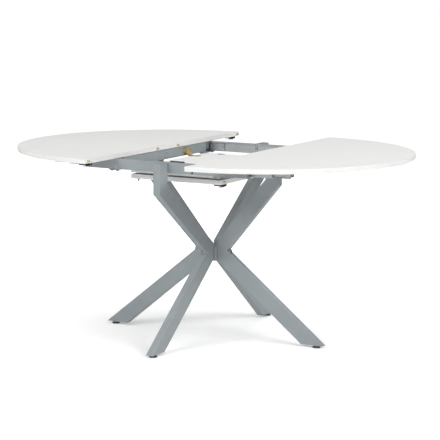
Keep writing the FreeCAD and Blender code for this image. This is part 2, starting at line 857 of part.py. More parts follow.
MOVED = f"({SLIDE_START} + opening / 2)"
MIDDLE_MOVED = f"({SLIDE_START} + middle_share * opening / 2)"
OUTER_SECTION = ("0", "slide_lip_depth", "slide_half_height")
MIDDLE_SECTION = ("middle_web_depth", "slide_lip_depth", "(slide_half_height - slide_step)")
INNER_SECTION = ("slide_depth", "inner_lip_depth", "(slide_half_height - 2 * slide_step)")


def inner_screw_places(side):
    """Where the moving member of a slide is screwed to its runner."""
    return [
        f"{side} * ({MOVED} + runner_screw_margin * 0.7)",
        f"{side} * ({MOVED} + slide_length - runner_screw_margin * 0.7)",
    ]


def make_fixed_slides():
    members, screws = [], []
    for side_name, side in SIDES.items():
        for end_name, end in ENDS.items():
            name = f"slide_outer_{end_name}_{side_name}"
            member = slide_member(name, SLIDE_START, side, end, OUTER_SECTION)
            web = mirrored(f"{RAIL_IN} - slide_metal", RAIL_IN, end)
            holes = []
            for k, x in enumerate(slide_screw_places(side)):
                centre = (x, RAIL_MIDDLE)
                holes.append(rod(f"{name}_hole{k}", "Y", centre, web, "slide_screw_radius"))
                seat = f"{end} * ({RAIL_IN} - slide_metal)"
                bite = "slide_screw_bite"
                screws.append(
                    screw(f"{name}_screw{k}", "Y", centre, seat, end, "slide_screw", bite)
                )
            members.append(cut(name + "_cut", member, holes))
    node(group("slide_outers_group", members), "slide_outer_members")
    node(group("slide_screws_group", screws), "slide_screws")


def make_middle_slides():
    """The middle members, with the row of access holes near their inner ends."""
    for side_name, side in SIDES.items():
        members = []
        for end_name, end in ENDS.items():
            name = f"slide_middle_{end_name}_{side_name}"
            member = slide_member(name, MIDDLE_MOVED, side, end, MIDDLE_SECTION)
            web = mirrored(
                f"{RAIL_IN} - middle_web_depth - slide_metal - 1",
                f"{RAIL_IN} - middle_web_depth + 1",
                end,
            )
            holes = []
            for k in range(3):
                x = f"{side} * ({MIDDLE_MOVED} + access_hole_radius * 2 + {k} * access_hole_pitch)"
                holes.append(
                    rod(f"{name}_hole{k}", "Y", (x, RAIL_MIDDLE), web, "access_hole_radius")
                )
            members.append(cut(name + "_cut", member, holes))
        node(group(f"slide_middles_{side_name}_group", members), f"slide_middle_members_{side_name}")


def runner_screw_places(side):
    return [
        f"{side} * ({MOVED} + runner_screw_margin)",
        f"{side} * ({MOVED} + slide_length / 2)",
        f"{side} * ({MOVED} + slide_length - runner_screw_margin)",
    ]


def runner_screw_centres(side, end):
    y = f"{end} * ({RUNNER_IN} + runner_width / 2)"
    return [(x, y) for x in runner_screw_places(side)]


def make_runners(side_name, side):
    """The bars under one half of the top, the slide members on them, their caps and their screws."""
    inner_members, caps, screws = [], [], []
    runner_low = f"({TOP_UNDER} - runner_height)"
    for end_name, end in ENDS.items():
        name = f"runner_{end_name}_{side_name}"
        y = mirrored(RUNNER_IN, RUNNER_OUT, end)
        body = new_body(name + "_body", f"{side} * {MOVED}")
        sketch = sketch_on(body, name + "_outline", "YZ_Plane")
        draw_tube(sketch, *y, runner_low, TOP_UNDER, "runner")
        feature = pad(body, sketch, "slide_length")
        feature.Reversed = side < 0

        member_name = f"slide_inner_{end_name}_{side_name}"
        member = slide_member(member_name, MOVED, side, end, INNER_SECTION)
        tools, member_holes = [], []
        web_face = f"{end} * ({RUNNER_OUT} + slide_metal)"
        bite = "slide_metal + runner_wall + 1"
        for k, x in enumerate(inner_screw_places(side)):
            centre = (x, RAIL_MIDDLE)
            screw_name = f"{member_name}_screw{k}"
            screws.append(screw(screw_name, "Y", centre, web_face, -end, "slide_screw", bite))
            tools.append(hole(f"{name}_side_hole{k}", "Y", centre, web_face, -end, "slide_screw", bite))
            member_holes.append(
                hole(f"{member_name}_hole{k}", "Y", centre, web_face, -end, "slide_screw", bite)
            )
        inner_members.append(cut(member_name + "_cut", member, member_holes))
        for k, centre in enumerate(runner_screw_centres(side, end)):
            bite = "runner_height + runner_screw_bite"
            screws.append(screw(f"{name}_screw{k}", "Z", centre, runner_low, 1, "runner_screw", bite))
            tools.append(hole(f"{name}_hole{k}", "Z", centre, runner_low, 1, "runner_screw", bite))
        node(cut(name + "_cut", body, tools), name)
        for cap_way, tube_end in (
            (-side, f"{side} * {MOVED}"),
            (side, f"{side} * ({MOVED} + slide_length)"),
        ):
            cap_name = f"{name}_cap{cap_way + 1}"
            caps.append(end_cap(cap_name, cap_way, tube_end, y, (runner_low, TOP_UNDER), "runner_wall"))
    node(group(f"slide_inners_{side_name}_group", inner_members), f"slide_inner_members_{side_name}")
    node(group(f"runner_caps_{side_name}_group", caps), f"runner_end_caps_{side_name}")
    return screws


# ---------------------------------------------------------------- the top
def half_disc(name, side):
    """Half of the round top, its straight edge facing the middle of the table."""
    body = new_body(name, f"{side} * {SPLIT}", 0, TOP_UNDER)
    sketch = sketch_on(body, name + "_outline", "XY_Plane")
    radius = number("top_diameter / 2")
    start, end = (-90, 90) if side > 0 else (90, 270)
    circle = Part.Circle(FreeCAD.Vector(), FreeCAD.Vector(0, 0, 1), radius)
    turn = FreeCAD.Units.Quantity("1 deg").getValueAs("rad").Value
    sketch.addGeometry(Part.ArcOfCircle(circle, start * turn, end * turn))
    chord = (FreeCAD.Vector(0, side * radius, 0), FreeCAD.Vector(0, -side * radius, 0))
    sketch.addGeometry(Part.LineSegment(*chord))
    constraint = Sketcher.Constraint
    sketch.addConstraint(constraint("Coincident", 0, 3, -1, 1))
    sketch.addConstraint(constraint("Coincident", 0, 2, 1, 1))
    sketch.addConstraint(constraint("Coincident", 1, 2, 0, 1))
    sketch.addConstraint(constraint("PointOnObject", 1, 1, -2))
    sketch.addConstraint(constraint("PointOnObject", 1, 2, -2))
    index = sketch.addConstraint(constraint("Radius", 0, radius))
    sketch.renameConstraint(index, "radius")
    bind(sketch, "Constraints.radius", "top_diameter / 2")
    slab = pad(body, sketch, "top_thickness")
    rim = fillet(body, slab, "rim_radius", lambda edge: edge.Curve.TypeId == "Part::GeomCircle")
    fillet(
        body,
        rim,
        "split_edge_radius",
        lambda edge: edge.Curve.TypeId == "Part::GeomLine" and edge.Length > number("top_diameter / 2"),
    )
    return body


def pin_centres(height):
    """The four alignment pins along the straight edge of a half."""
    return [(f"{way} * {y}", height) for y in PIN_PLACES for way in (-1, 1)]


def alignment_pin(name, centre, face, way):
    """A pin set in a face, standing out of it the way given, with a tapered tip."""
    shaft_end = f"({face}) + {way} * (pin_reach - pin_taper)"
    tip_end = f"({face}) + {way} * pin_reach"
    shaft_span = ordered(f"({face}) - {way} * pin_bite", shaft_end, way)
    shaft = rod(name + "_shaft", "X", centre, shaft_span, "pin_radius")
    tip_radii = ("pin_radius", "pin_radius * 0.7")[::way]
    tip = rod(name + "_tip", "X", centre, ordered(shaft_end, tip_end, way), *tip_radii)
    return join(name, [shaft, tip])


def pin_socket(name, centre, face, way):
    """The hole that takes a pin's tip, going into a face the way given."""
    span = ordered(face, f"({face}) + {way} * pin_hole_depth", way)
    return rod(name, "X", centre, span, "pin_radius + pin_play")


def pin_seat(name, centre, face, way):
    """The hole that a pin is set in. The pin stands out the way given."""
    span = ordered(f"({face}) - {way} * pin_bite", face, way)
    return rod(name, "X", centre, span, "pin_radius")


def make_left_half():
    face = f"-{SPLIT}"
    height = f"({TOP_UNDER} + top_thickness / 2)"
    pins, tools = [], []
    for k, centre in enumerate(pin_centres(height)):
        pins.append(alignment_pin(f"left_pin{k}", centre, face, 1))
        tools.append(pin_seat(f"left_pin_seat{k}", centre, face, 1))
    node(group("left_pins_group", pins), "alignment_pins_left")
    screws = make_runners("left", -1)
    latches = []
    for label, end in ENDS.items():
        where = (face, f"{end} * {LATCH_PLACE}", TOP_UNDER, 1, -1)
        latches.append(latch_base(f"latch_base_left_{label}", *where))
        latch_lever(f"latch_lever_left_{label}", *where)
        found, holes = latch_screws(f"latch_left_{label}", *where)
        screws += found
        tools += holes
    node(group("latch_bases_left_group", latches), "latch_bases_left")
    tools += top_screw_holes("left", -1)
    node(group("top_screws_left_group", screws), "top_screws_left")
    node(cut("top_half_left_cut", half_disc("top_half_left_body", -1), tools), "top_half_left")


def make_right_half():
    face = SPLIT
    height = f"({TOP_UNDER} + top_thickness / 2)"
    tools = []
    for k, centre in enumerate(pin_centres(height)):
        tools.append(pin_socket(f"right_pin_socket{k}", centre, face, 1))
    screws = make_runners("right", 1)
    catches = []
    for label, end in ENDS.items():
        where = (face, f"{end} * {LATCH_PLACE}", TOP_UNDER, 1, -1)
        catches.append(catch_plate(f"catch_right_{label}", *where))
        found, holes = catch_screws(f"catch_right_{label}", *where)
        screws += found
        tools += holes
    node(group("catches_right_group", catches), "catch_plates_right")
    tools += top_screw_holes("right", 1)
    node(group("top_screws_right_group", screws), "top_screws_right")
    node(cut("top_half_right_cut", half_disc("top_half_right_body", 1), tools), "top_half_right")


def top_screw_holes(side_name, side):
    """The holes in the underside of a half for the screws that hold its runners."""
    holes = []
    for end_name, end in ENDS.items():
        for k, centre in enumerate(runner_screw_centres(side, end)):
            name = f"top_{side_name}_{end_name}_hole{k}"
            holes.append(hole(name, "Z", centre, TOP_UNDER, 1, "runner_screw", "runner_screw_bite"))
    return holes


# ---------------------------------------------------------------- latches
# Each latch is at an edge that lies across X. across is the way from its own panel over that
# edge, and down is the way that the panel's underside faces.
def stacked(surface, down, start, end):
    """A span along Z, counted from a panel's underside the way that it faces."""
    return ordered(f"({surface}) + {down} * ({start})", f"({surface}) + {down} * ({end})", down)


def latch_base(name, edge, y, surface, across, down):
    x = ordered(
        f"({edge}) - {across} * (latch_setback + latch_length)",
        f"({edge}) - {across} * latch_setback",
        across,
    )
    half = "latch_width / 2"
    base = block(
        name + "_block",
        x,
        (f"({y}) - {half}", f"({y}) + {half}"),
        stacked(surface, down, 0, "latch_height"),
    )
    axis = (f"({edge}) - {across} * lever_pivot_setback", y)
    bore_span = stacked(surface, down, "latch_height - rivet_depth", "latch_height")
    bore = rod(name + "_bore", "Z", axis, bore_span, "rivet_radius + rivet_play")
    far_x = f"({edge}) - {across} * (latch_setback + latch_length * 0.8)"
    holes = []
    for way in (-1, 1):
        centre = (far_x, f"({y}) + {way} * latch_width * 0.25")
        holes.append(
            rod(
                f"{name}_screw_hole{way + 1}",
                "Z",
                centre,
                stacked(surface, down, 0, "latch_height"),
                "small_screw_radius",
            )
        )
    return cut(name, base, [bore, *holes])


def latch_screws(name, edge, y, surface, across, down):
    """The two screws of a latch base, and their holes in the panel."""
    far_x = f"({edge}) - {across} * (latch_setback + latch_length * 0.8)"
    seat = f"({surface}) + {down} * latch_height"
    screws, holes = [], []
    for way in (-1, 1):
        centre = (far_x, f"({y}) + {way} * latch_width * 0.25")
        bite = "latch_height + small_screw_bite"
        screws.append(
            screw(f"{name}_screw{way + 1}", "Z", centre, seat, -down, "small_screw", bite)
        )
        hole_name = f"{name}_panel_hole{way + 1}"
        holes.append(hole(hole_name, "Z", centre, surface, -down, "small_screw", "small_screw_bite"))
    return screws, holes


def latch_lever(name, edge, y, surface, across, down):
    """The hook that swings over to the next panel, with the rivet that it turns on."""
    axis = (f"({edge}) - {across} * lever_pivot_setback", y)
    start, end = "latch_height + lever_play", "latch_height + lever_play + lever_thickness"
    level = stacked(surface, down, start, end)
    half = "lever_width / 2"
    bar = block(
        name + "_bar",
        (f"({axis[0]}) - {half}", f"({axis[0]}) + {half}"),
        (f"({y}) - (lever_length - {half})", y),
        level,
    )
    tip = rod(name + "_tip", "Z", (axis[0], f"({y}) - (lever_length - {half})"), level, half)
    heel = rod(name + "_heel", "Z", axis, level, half)
    shank = rod(
        name + "_shank",
        "Z",
        axis,
        stacked(surface, down, "latch_height - rivet_depth + lever_play", end),
        "rivet_radius",
    )
    head = rod(
        name + "_head",
        "Z",
        axis,
        stacked(surface, down, end, f"{end} + rivet_head"),
        "rivet_head_radius",
    )
    blank = join(name + "_blank", [bar, tip, heel, shank, head])
    stud_y = f"(({y}) - (lever_pivot_setback + catch_stud_place))"
    reach = "(catch_stud_radius + hook_play)"
    slot_end = rod(name + "_slot_end", "Z", (axis[0], stud_y), level, reach)
    slot_side = ordered(axis[0], f"({axis[0]}) + {across} * lever_width", across)
    slot = block(name + "_slot", slot_side, (f"{stud_y} - {reach}", f"{stud_y} + {reach}"), level)
    node(cut(name + "_cut", blank, [slot_end, slot]), name)


def catch_screw_centres(edge, y, across):
    near = f"({edge}) + {across} * (latch_setback + catch_length * 0.45)"
    far = f"({edge}) + {across} * (latch_setback + catch_length * 0.9)"
    return [(near, y), (far, y)]


def catch_plate(name, edge, y, surface, across, down):
    """The plate on the next panel, with the stud that the hook goes round."""
    x = ordered(
        f"({edge}) + {across} * latch_setback",
        f"({edge}) + {across} * (latch_setback + catch_length)",
        across,
    )
    half = "latch_width / 2"
    level = stacked(surface, down, 0, "catch_thickness")
    plate = block(name + "_plate", x, (f"({y}) - {half}", f"({y}) + {half}"), level)
    stud = rod(
        name + "_stud",
        "Z",
        (f"({edge}) + {across} * catch_stud_place", y),
        stacked(surface, down, "catch_thickness", "catch_stud_length"),
        "catch_stud_radius",
    )
    holes = [
        rod(f"{name}_hole{k}", "Z", centre, level, "small_screw_radius")
        for k, centre in enumerate(catch_screw_centres(edge, y, across))
    ]
    return cut(name, join(name + "_blank", [plate, stud]), holes)


def catch_screws(name, edge, y, surface, across, down):
    """The two screws of a catch plate, and their holes in the panel."""
    seat = f"({surface}) + {down} * catch_thickness"
    screws, holes = [], []
    for k, centre in enumerate(catch_screw_centres(edge, y, across)):
        bite = "catch_thickness + small_screw_bite"
        screws.append(screw(f"{name}_screw{k}", "Z", centre, seat, -down, "small_screw", bite))
        hole_name = f"{name}_panel_hole{k}"
        holes.append(hole(hole_name, "Z", centre, surface, -down, "small_screw", "small_screw_bite"))
    return screws, holes


# ---------------------------------------------------------------- the leaf and its pivots
def pivot_screw_places():
    """Where the screws of a pivot plate stand along the cross rail."""
    return [
        f"({PIVOT_PLACE} - pivot_plate_front + slide_screw_head_radius * 2)",
        f"({PIVOT_PLACE} + pivot_plate_rear * 0.4)",
    ]


def make_pivot_plates():
    """The plates on the cross rails, with the pins that the folded leaf turns on."""
    plates, pins, screws = [], [], []
    for label, side in SIDES.items():
        name = f"pivot_{label}"
        centre = (PIVOT_PLACE, PIVOT_HEIGHT)
        stop_centre = (f"{PIVOT_PLACE} + stop_pin_place", PIVOT_HEIGHT)
        plate_face = f"({CROSS_IN} - pivot_plate_thickness)"
        x = mirrored(plate_face, CROSS_IN, side)
        plate = block(
            name + "_plate",
            x,
            (f"{PIVOT_PLACE} - pivot_plate_front", f"{PIVOT_PLACE} + pivot_plate_rear"),
            (f"{PIVOT_HEIGHT} - pivot_plate_half_height", f"{PIVOT_HEIGHT} + pivot_plate_half_height"),
        )
        holes = [
            rod(name + "_pin_hole", "X", centre, x, "pivot_pin_radius"),
            rod(name + "_stop_hole", "X", stop_centre, x, "stop_pin_radius"),
        ]
        for k, y in enumerate(pivot_screw_places()):
            spot = (y, PIVOT_HEIGHT)
            holes.append(rod(f"{name}_hole{k}", "X", spot, x, "slide_screw_radius"))
            seat = f"{side} * {plate_face}"
            screws.append(
                screw(f"{name}_screw{k}", "X", spot, seat, side, "slide_screw", "slide_screw_bite")
            )
        plates.append(cut(name + "_plate_cut", plate, holes))

        eye_in = "(leaf_width / 2 + bracket_side_gap)"
        eye_out = f"({eye_in} + bracket_thickness)"
        head_out = f"({eye_in} - pivot_side_play)"
        head = rod(
            name + "_head",
            "X",
            centre,
            mirrored(f"{head_out} - pivot_head", head_out, side),
            "pivot_head_radius",
        )
        shank_span = mirrored(head_out, f"{CROSS_IN} + rail_wall", side)
        shank = rod(name + "_shank", "X", centre, shank_span, "pivot_pin_radius")
        shoulder_span = mirrored(f"{eye_out} + pivot_side_play", plate_face, side)
        shoulder = rod(name + "_shoulder", "X", centre, shoulder_span, "pivot_shoulder_radius")
        pins.append(join(name + "_pin", [head, shank, shoulder]))
        stop_span = mirrored(head_out, CROSS_IN, side)
        pins.append(rod(name + "_stop", "X", stop_centre, stop_span, "stop_pin_radius"))
    node(group("pivot_plates_group", plates), "pivot_plates")
    node(group("pivot_pins_group", pins), "pivot_and_stop_pins")
    node(group("pivot_screws_group", screws), "pivot_plate_screws")


def bracket_screw_centres(side):
    x = [
        f"{side} * (leaf_width / 2 - bracket_foot_length * 0.3)",
        f"{side} * (leaf_width / 2 - bracket_foot_length * 0.62)",
    ]
    y = f"({PIVOT_PLACE} + (bracket_foot_start + bracket_foot_end) / 2)"
    return [(place, y) for place in x]


def make_pivot_brackets():
    """The angle brackets on the leaf: an eye round each pivot pin and a foot on the panel."""
    brackets = []
    for label, side in SIDES.items():
        name = f"bracket_{label}"
        eye_in = "(leaf_width / 2 + bracket_side_gap)"
        eye_out = f"({eye_in} + bracket_thickness)"
        plate_x = mirrored(eye_in, eye_out, side)
        body = new_body(name + "_body", f"{side} * ({eye_in} + bracket_thickness / 2)")
        sketch = sketch_on(body, name + "_outline", "YZ_Plane")
        eye = "bracket_eye_radius"
        corners = [
            (f"{PIVOT_PLACE} + bracket_foot_start", UPPER_TOP),
            (f"{PIVOT_PLACE} + bracket_foot_end", UPPER_TOP),
            (f"{PIVOT_PLACE} + bracket_foot_end", f"{PIVOT_HEIGHT} - bracket_rear_drop"),
            (f"{PIVOT_PLACE} + {eye} * 0.6", f"{PIVOT_HEIGHT} + {eye} * 0.8"),
            (PIVOT_PLACE, PIVOT_HEIGHT),
            (f"{PIVOT_PLACE} - {eye} * 0.8", f"{PIVOT_HEIGHT} - {eye} * 0.6"),
        ]
        draw_polygon(sketch, corners)
        pad(body, sketch, "bracket_thickness", both_ways=True)
        centre = (PIVOT_PLACE, PIVOT_HEIGHT)
        ring = rod(name + "_eye", "X", centre, plate_x, eye)
        foot = block(
            name + "_foot",
            mirrored("leaf_width / 2 - bracket_foot_length + bracket_side_gap", eye_out, side),
            (f"{PIVOT_PLACE} + bracket_foot_start", f"{PIVOT_PLACE} + bracket_foot_end"),
            (UPPER_TOP, f"{UPPER_TOP} + bracket_thickness"),
        )
        blank = join(name + "_blank", [body, ring, foot])
        tools = [rod(name + "_bore", "X", centre, plate_x, "pivot_pin_radius + pivot_play")]
        for k, spot in enumerate(bracket_screw_centres(side)):
            span = (UPPER_TOP, f"{UPPER_TOP} + bracket_thickness")
            tools.append(rod(f"{name}_hole{k}", "Z", spot, span, "slide_screw_radius"))
        brackets.append(cut(name + "_cut", blank, tools))
    node(group("brackets_group", brackets), "pivot_brackets")


def leaf_panel(name, low):
    """A rectangular panel lying on a level, with its long edges eased."""
    body = new_body(name, 0, 0, low)
    sketch = sketch_on(body, name + "_outline", "XY_Plane")
    half = f"{LEAF_LENGTH} / 2"
    draw_polygon(sketch, rectangle("-leaf_width / 2", "leaf_width / 2", f"-{half}", half))
    slab = pad(body, sketch, "top_thickness")
    shortest = number("leaf_width") / 2
    fillet(body, slab, "leaf_edge_radius", lambda edge: edge.Length > shortest)
    return body


def hinge_cup_space(name, way, underside, down):
    """The round recess of one fold hinge cup, sunk in the outward face of a leaf half."""
    centre = (f"{way} * fold_hinge_place", f"{LEAF_LENGTH} / 2 - hinge_cup_setback")
    span = ordered(f"{underside} - {down} * hinge_cup_depth", underside, down)
    return rod(name, "Z", centre, span, "hinge_cup_radius")


def hinge_cup(name, way, underside, down):
    """The cup in that recess: cut off flush with the back edge, with a long pocket for its link."""
    x, y = f"{way} * fold_hinge_place", f"{LEAF_LENGTH} / 2 - hinge_cup_setback"
    beyond = block(
        name + "_beyond",
        (f"{x} - hinge_cup_radius", f"{x} + hinge_cup_radius"),
        (f"{LEAF_LENGTH} / 2", f"{LEAF_LENGTH} / 2 + hinge_cup_radius"),
        ordered(f"{underside} - {down} * hinge_cup_depth", underside, down),
    )
    span = ordered(f"{underside} - {down} * hinge_pocket_depth", underside, down)
    pocket = "hinge_pocket_radius"
    middle = block(
        name + "_pocket",
        (f"{x} - {pocket}", f"{x} + {pocket}"),
        (f"{y} - {pocket}", f"{y} + {pocket}"),
        span,
    )
    ends = [
        rod(f"{name}_pocket{side + 1}", "Z", (f"{x} + {side} * {pocket}", y), span, pocket)
        for side in (-1, 1)
    ]
    cup = hinge_cup_space(name + "_blank", way, underside, down)
    return cut(name, cup, [beyond, middle, *ends])


def handle_places():
    """The y span of the pull handle, near the front end of the folded leaf."""
    front = f"(handle_setback - {LEAF_LENGTH} / 2)"
    return front, f"({front} + handle_width)"


def handle_screw_centres():
    front, back = handle_places()
    x = "(handle_length / 2 - handle_post / 2)"
    return [(f"{way} * {x}", f"({front} + {back}) / 2") for way in (-1, 1)]


def make_leaf():
    """Both halves of the folded leaf with everything that is fixed to them."""
    pins, cups, latches, catches, screws = [], [], [], [], []
    levels = (
        ("upper", UPPER_LOW, UPPER_TOP, 1),
        ("lower", LOWER_LOW, LOWER_LOW, -1),
    )
    for label, low, underside, down in levels:
        middle = f"({low} + top_thickness / 2)"
        tools = []
        for k, place_along in enumerate(PIN_PLACES):
            centre = (f"({LEAF_LENGTH} / 2 - {place_along})", middle)
            name = f"leaf_{label}_pin{k}"
            pins.append(alignment_pin(name, centre, "leaf_width / 2", 1))
            tools.append(pin_seat(name + "_seat", centre, "leaf_width / 2", 1))
            tools.append(pin_socket(name + "_socket", centre, "-leaf_width / 2", 1))
        for way in (-1, 1):
            cups.append(hinge_cup(f"cup_{label}{way + 1}", way, underside, down))
            tools.append(hinge_cup_space(f"cup_space_{label}{way + 1}", way, underside, down))
        latch_where = ("leaf_width / 2", STORED_LATCH, underside, 1, down)
        latches.append(latch_base(f"latch_base_leaf_{label}", *latch_where))
        latch_lever(f"latch_lever_leaf_{label}", *latch_where)
        catch_where = ("-leaf_width / 2", STORED_LATCH, underside, 1, down)
        catches.append(catch_plate(f"catch_leaf_{label}", *catch_where))
        for found, holes in (
            latch_screws(f"latch_leaf_{label}", *latch_where),
            catch_screws(f"catch_leaf_{label}", *catch_where),
        ):
            screws += found
            tools += holes
        if label == "upper":
            for side_name, side in SIDES.items():
                for k, spot in enumerate(bracket_screw_centres(side)):
                    name = f"bracket_{side_name}_screw{k}"
                    seat = f"{UPPER_TOP} + bracket_thickness"
                    bite = "bracket_thickness + small_screw_bite"
                    screws.append(screw(name, "Z", spot, seat, -1, "slide_screw", bite))
                    tools.append(hole(name + "_hole", "Z", spot, seat, -1, "slide_screw", bite))
        panel = leaf_panel(f"leaf_{label}_body", low)
        node(cut(f"leaf_{label}_cut", panel, tools), f"leaf_{label}")
    node(group("leaf_pins_group", pins), "alignment_pins_leaf")
    node(group("cups_group", cups), "fold_hinge_cups")
    node(group("leaf_latches_group", latches), "latch_bases_leaf")
    node(group("leaf_catches_group", catches), "catch_plates_leaf")
    node(group("leaf_screws_group", screws), "leaf_screws")


def make_fold_links():
    """The links that join the two leaf halves across their back edges."""
    links = []
    for way in (-1, 1):
        half = "hinge_link_width / 2"
        x = (f"{way} * fold_hinge_place - {half}", f"{way} * fold_hinge_place + {half}")
        y = (f"{LEAF_LENGTH} / 2", f"{LEAF_LENGTH} / 2 + hinge_link_thickness")
        z = (f"{LOWER_LOW} + hinge_link_start", f"{UPPER_TOP} - hinge_link_start")
        links.append(block(f"fold_link{way + 1}", x, y, z))
    node(group("fold_links_group", links), "fold_hinge_links")


def make_handle():
    """The pull handle on the underside of the upper leaf half."""
    y = handle_places()
    half = "(handle_length / 2)"
    bar = block(
        "handle_bar_block",
        (f"-{half}", half),
        y,
        (f"{UPPER_TOP} + handle_height - handle_bar", f"{UPPER_TOP} + handle_height"),
    )
    posts = []
    for way in (-1, 1):
        x = mirrored(f"{half} - handle_post", half, way)
        posts.append(
            block(f"handle_post{way + 1}", x, y, (UPPER_TOP, f"{UPPER_TOP} + handle_height"))
        )
    node(join("handle_joined", [bar, *posts]), "leaf_handle")


def main():
    fill_sheet()
    make_legs()
    make_hub()
    make_levellers()
    make_long_rails()
    make_cross_rails()
    make_corners()
    make_rail_caps()
    make_leg_screws()
    make_fixed_slides()
    make_middle_slides()
    make_left_half()
    make_right_half()
    make_pivot_plates()
    make_pivot_brackets()
    make_leaf()
    make_fold_links()
    make_handle()
    doc.recompute()


def check_document():
    """Stops if any object failed or any sub-part has no sound shape."""
    for thing in doc.Objects:
        if "Invalid" in thing.State or "Error" in thing.State:
            raise RuntimeError(f"{thing.Label} failed: {thing.State}")
    for thing in nodes:
        if thing.Shape.isNull() or not thing.Shape.isValid() or not thing.Shape.Solids:
            raise RuntimeError(f"{thing.Label} has no sound shape")


def write_parts():
    os.makedirs("parts", exist_ok=True)
    for thing in nodes:
        thing.Shape.exportStep(os.path.join("parts", thing.Label + ".step"))


main()
check_document()
write_parts()
print(len(nodes), "sub-parts")
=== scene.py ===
"""The finished look of an extendable round dining table on crossing steel legs.

Metres, in the table's own frame: X is the way the two halves of the top slide, Y runs along the
opening between them and Z is up from the floor.
"""

import json
import math

import bpy
from mathutils import Matrix, Vector


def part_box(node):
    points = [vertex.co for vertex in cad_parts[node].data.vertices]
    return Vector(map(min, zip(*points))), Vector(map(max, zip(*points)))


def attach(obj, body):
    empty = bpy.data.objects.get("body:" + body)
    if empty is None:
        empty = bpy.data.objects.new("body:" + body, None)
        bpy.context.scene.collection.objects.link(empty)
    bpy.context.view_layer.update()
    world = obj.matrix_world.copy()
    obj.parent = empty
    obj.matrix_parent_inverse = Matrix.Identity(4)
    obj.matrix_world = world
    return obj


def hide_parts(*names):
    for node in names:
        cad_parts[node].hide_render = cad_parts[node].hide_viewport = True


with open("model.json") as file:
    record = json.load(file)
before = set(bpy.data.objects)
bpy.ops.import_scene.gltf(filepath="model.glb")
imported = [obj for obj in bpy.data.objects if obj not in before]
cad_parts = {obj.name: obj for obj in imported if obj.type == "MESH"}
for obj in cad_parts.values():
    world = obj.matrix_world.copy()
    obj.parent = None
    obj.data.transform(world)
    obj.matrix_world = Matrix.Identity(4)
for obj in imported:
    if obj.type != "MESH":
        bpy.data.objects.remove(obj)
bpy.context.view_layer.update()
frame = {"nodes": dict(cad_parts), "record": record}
nodes = frame["nodes"]

MM = 0.001
# Two places closer than HAIR are the same place. What is closer than NEAR to a plane lies in it.
HAIR = 0.001 * MM
NEAR = 0.01 * MM


# ---------------------------------------------------------------- camera, light and floor
# The camera looks a little down at the table's front and right, from far away.
CAMERA_PLACE = (3.6149, -6.3810, 1.5788)
CAMERA_TURN = (81.395, -0.237, 29.368)
SENSOR_WIDTH = 36
LENS = 151.85
VIEW_DISTANCE = 100

# What the white background gives as light. The camera sees it at full strength.
AMBIENT = 0.04

# Each soft box: its place, the height over the table's middle that it points at, its width and
# depth, and its watts. The strong ones stand in front and to the right.
SOFT_BOXES = {
    "front_box": ((-1.0, -5.5, 3.6), 0.3, (4.0, 2.0), 225),
    "right_box": ((5.0, -1.0, 3.6), 0.3, (4.0, 2.0), 215),
    "left_box": ((-5.0, -1.5, 3.6), 0.3, (4.0, 2.0), 25),
    "top_box": ((-0.6, 0.6, 4.2), 0.4, (4.0, 4.0), 75),
    "back_box": ((0.0, 5.0, 2.5), 0.5, (4.0, 2.5), 19),
}

# Painted light: the floor's glow to the camera grows with the distance from its middle, so the
# floor is painted darker towards the table's middle and white further out.
FLOOR_SIZE = 60
GLOW_STARTS, GLOW_ENDS = 0.15, 2.2
GLOW_NEAR, GLOW_FAR = 0.12, 1.0


def set_camera():
    camera = bpy.data.objects.new("studio_camera", bpy.data.cameras.new("studio_camera"))
    bpy.context.scene.collection.objects.link(camera)
    camera.location = CAMERA_PLACE
    camera.rotation_euler = [math.radians(turn) for turn in CAMERA_TURN]
    camera.data.sensor_width = SENSOR_WIDTH
    camera.data.lens = LENS
    camera.data.clip_end = VIEW_DISTANCE
    bpy.context.scene.camera = camera
    bpy.context.scene.view_settings.view_transform = "Standard"


def whiten_background():
    """A background that the camera sees as white, but that lights the table only faintly."""
    world = bpy.data.worlds.new("white_studio")
    bpy.context.scene.world = world
    world.use_nodes = True
    tree = world.node_tree
    path = add(tree, "ShaderNodeLightPath")
    strength = add(
        tree,
        "ShaderNodeMapRange",
        {"To Min": AMBIENT, "To Max": 1.0},
        {"Value": path.outputs["Is Camera Ray"]},
    )
    background = tree.nodes["Background"]
    background.inputs["Color"].default_value = (1, 1, 1, 1)
    tree.links.new(strength.outputs["Result"], background.inputs["Strength"])


def hang_soft_boxes():
    for name, (place, aim, (width, depth), watts) in SOFT_BOXES.items():
        data = bpy.data.lights.new(name, "AREA")
        data.shape = "RECTANGLE"
        data.size, data.size_y, data.energy = width, depth, watts
        lamp = bpy.data.objects.new(name, data)
        bpy.context.scene.collection.objects.link(lamp)
        lamp.location = place
        beam = Vector((0, 0, aim)) - Vector(place)
        lamp.rotation_euler = beam.to_track_quat("-Z", "Y").to_euler()


def lay_floor(material):
    bpy.ops.object.select_all(action="DESELECT")
    bpy.ops.mesh.primitive_plane_add(size=FLOOR_SIZE, location=(0, 0, 0))
    floor = bpy.context.object
    floor.name = "studio_floor"
    floor.data.materials.append(material)


# ---------------------------------------------------------------- materials
# Most of a noise pattern lies between these values.
NOISE_LOW, NOISE_HIGH = 0.3, 0.7
# The length of one wave of the wave texture at scale 1.
WAVE_LENGTH = math.pi / 10
# The scale along a member that draws its rolling pattern out into lines.
ROLLED_STRETCH = 0.03


def linear(hex_value):
    """An sRGB hex value as the linear colour that a shader takes."""
    channels = [int(hex_value[k:k + 2], 16) / 255 for k in (1, 3, 5)]
    return (*[c / 12.92 if c <= 0.04045 else ((c + 0.055) / 1.055) ** 2.4 for c in channels], 1.0)


def add(tree, kind, settings=(), links=()):
    """A node of some kind, with its settings, and what is linked into its inputs."""
    node = tree.nodes.new(kind)
    for name, value in dict(settings).items():
        if isinstance(name, int) or name in node.inputs:
            node.inputs[name].default_value = value
        else:
            setattr(node, name, value)
    for name, source in dict(links).items():
        tree.links.new(source, node.inputs[name])
    return node


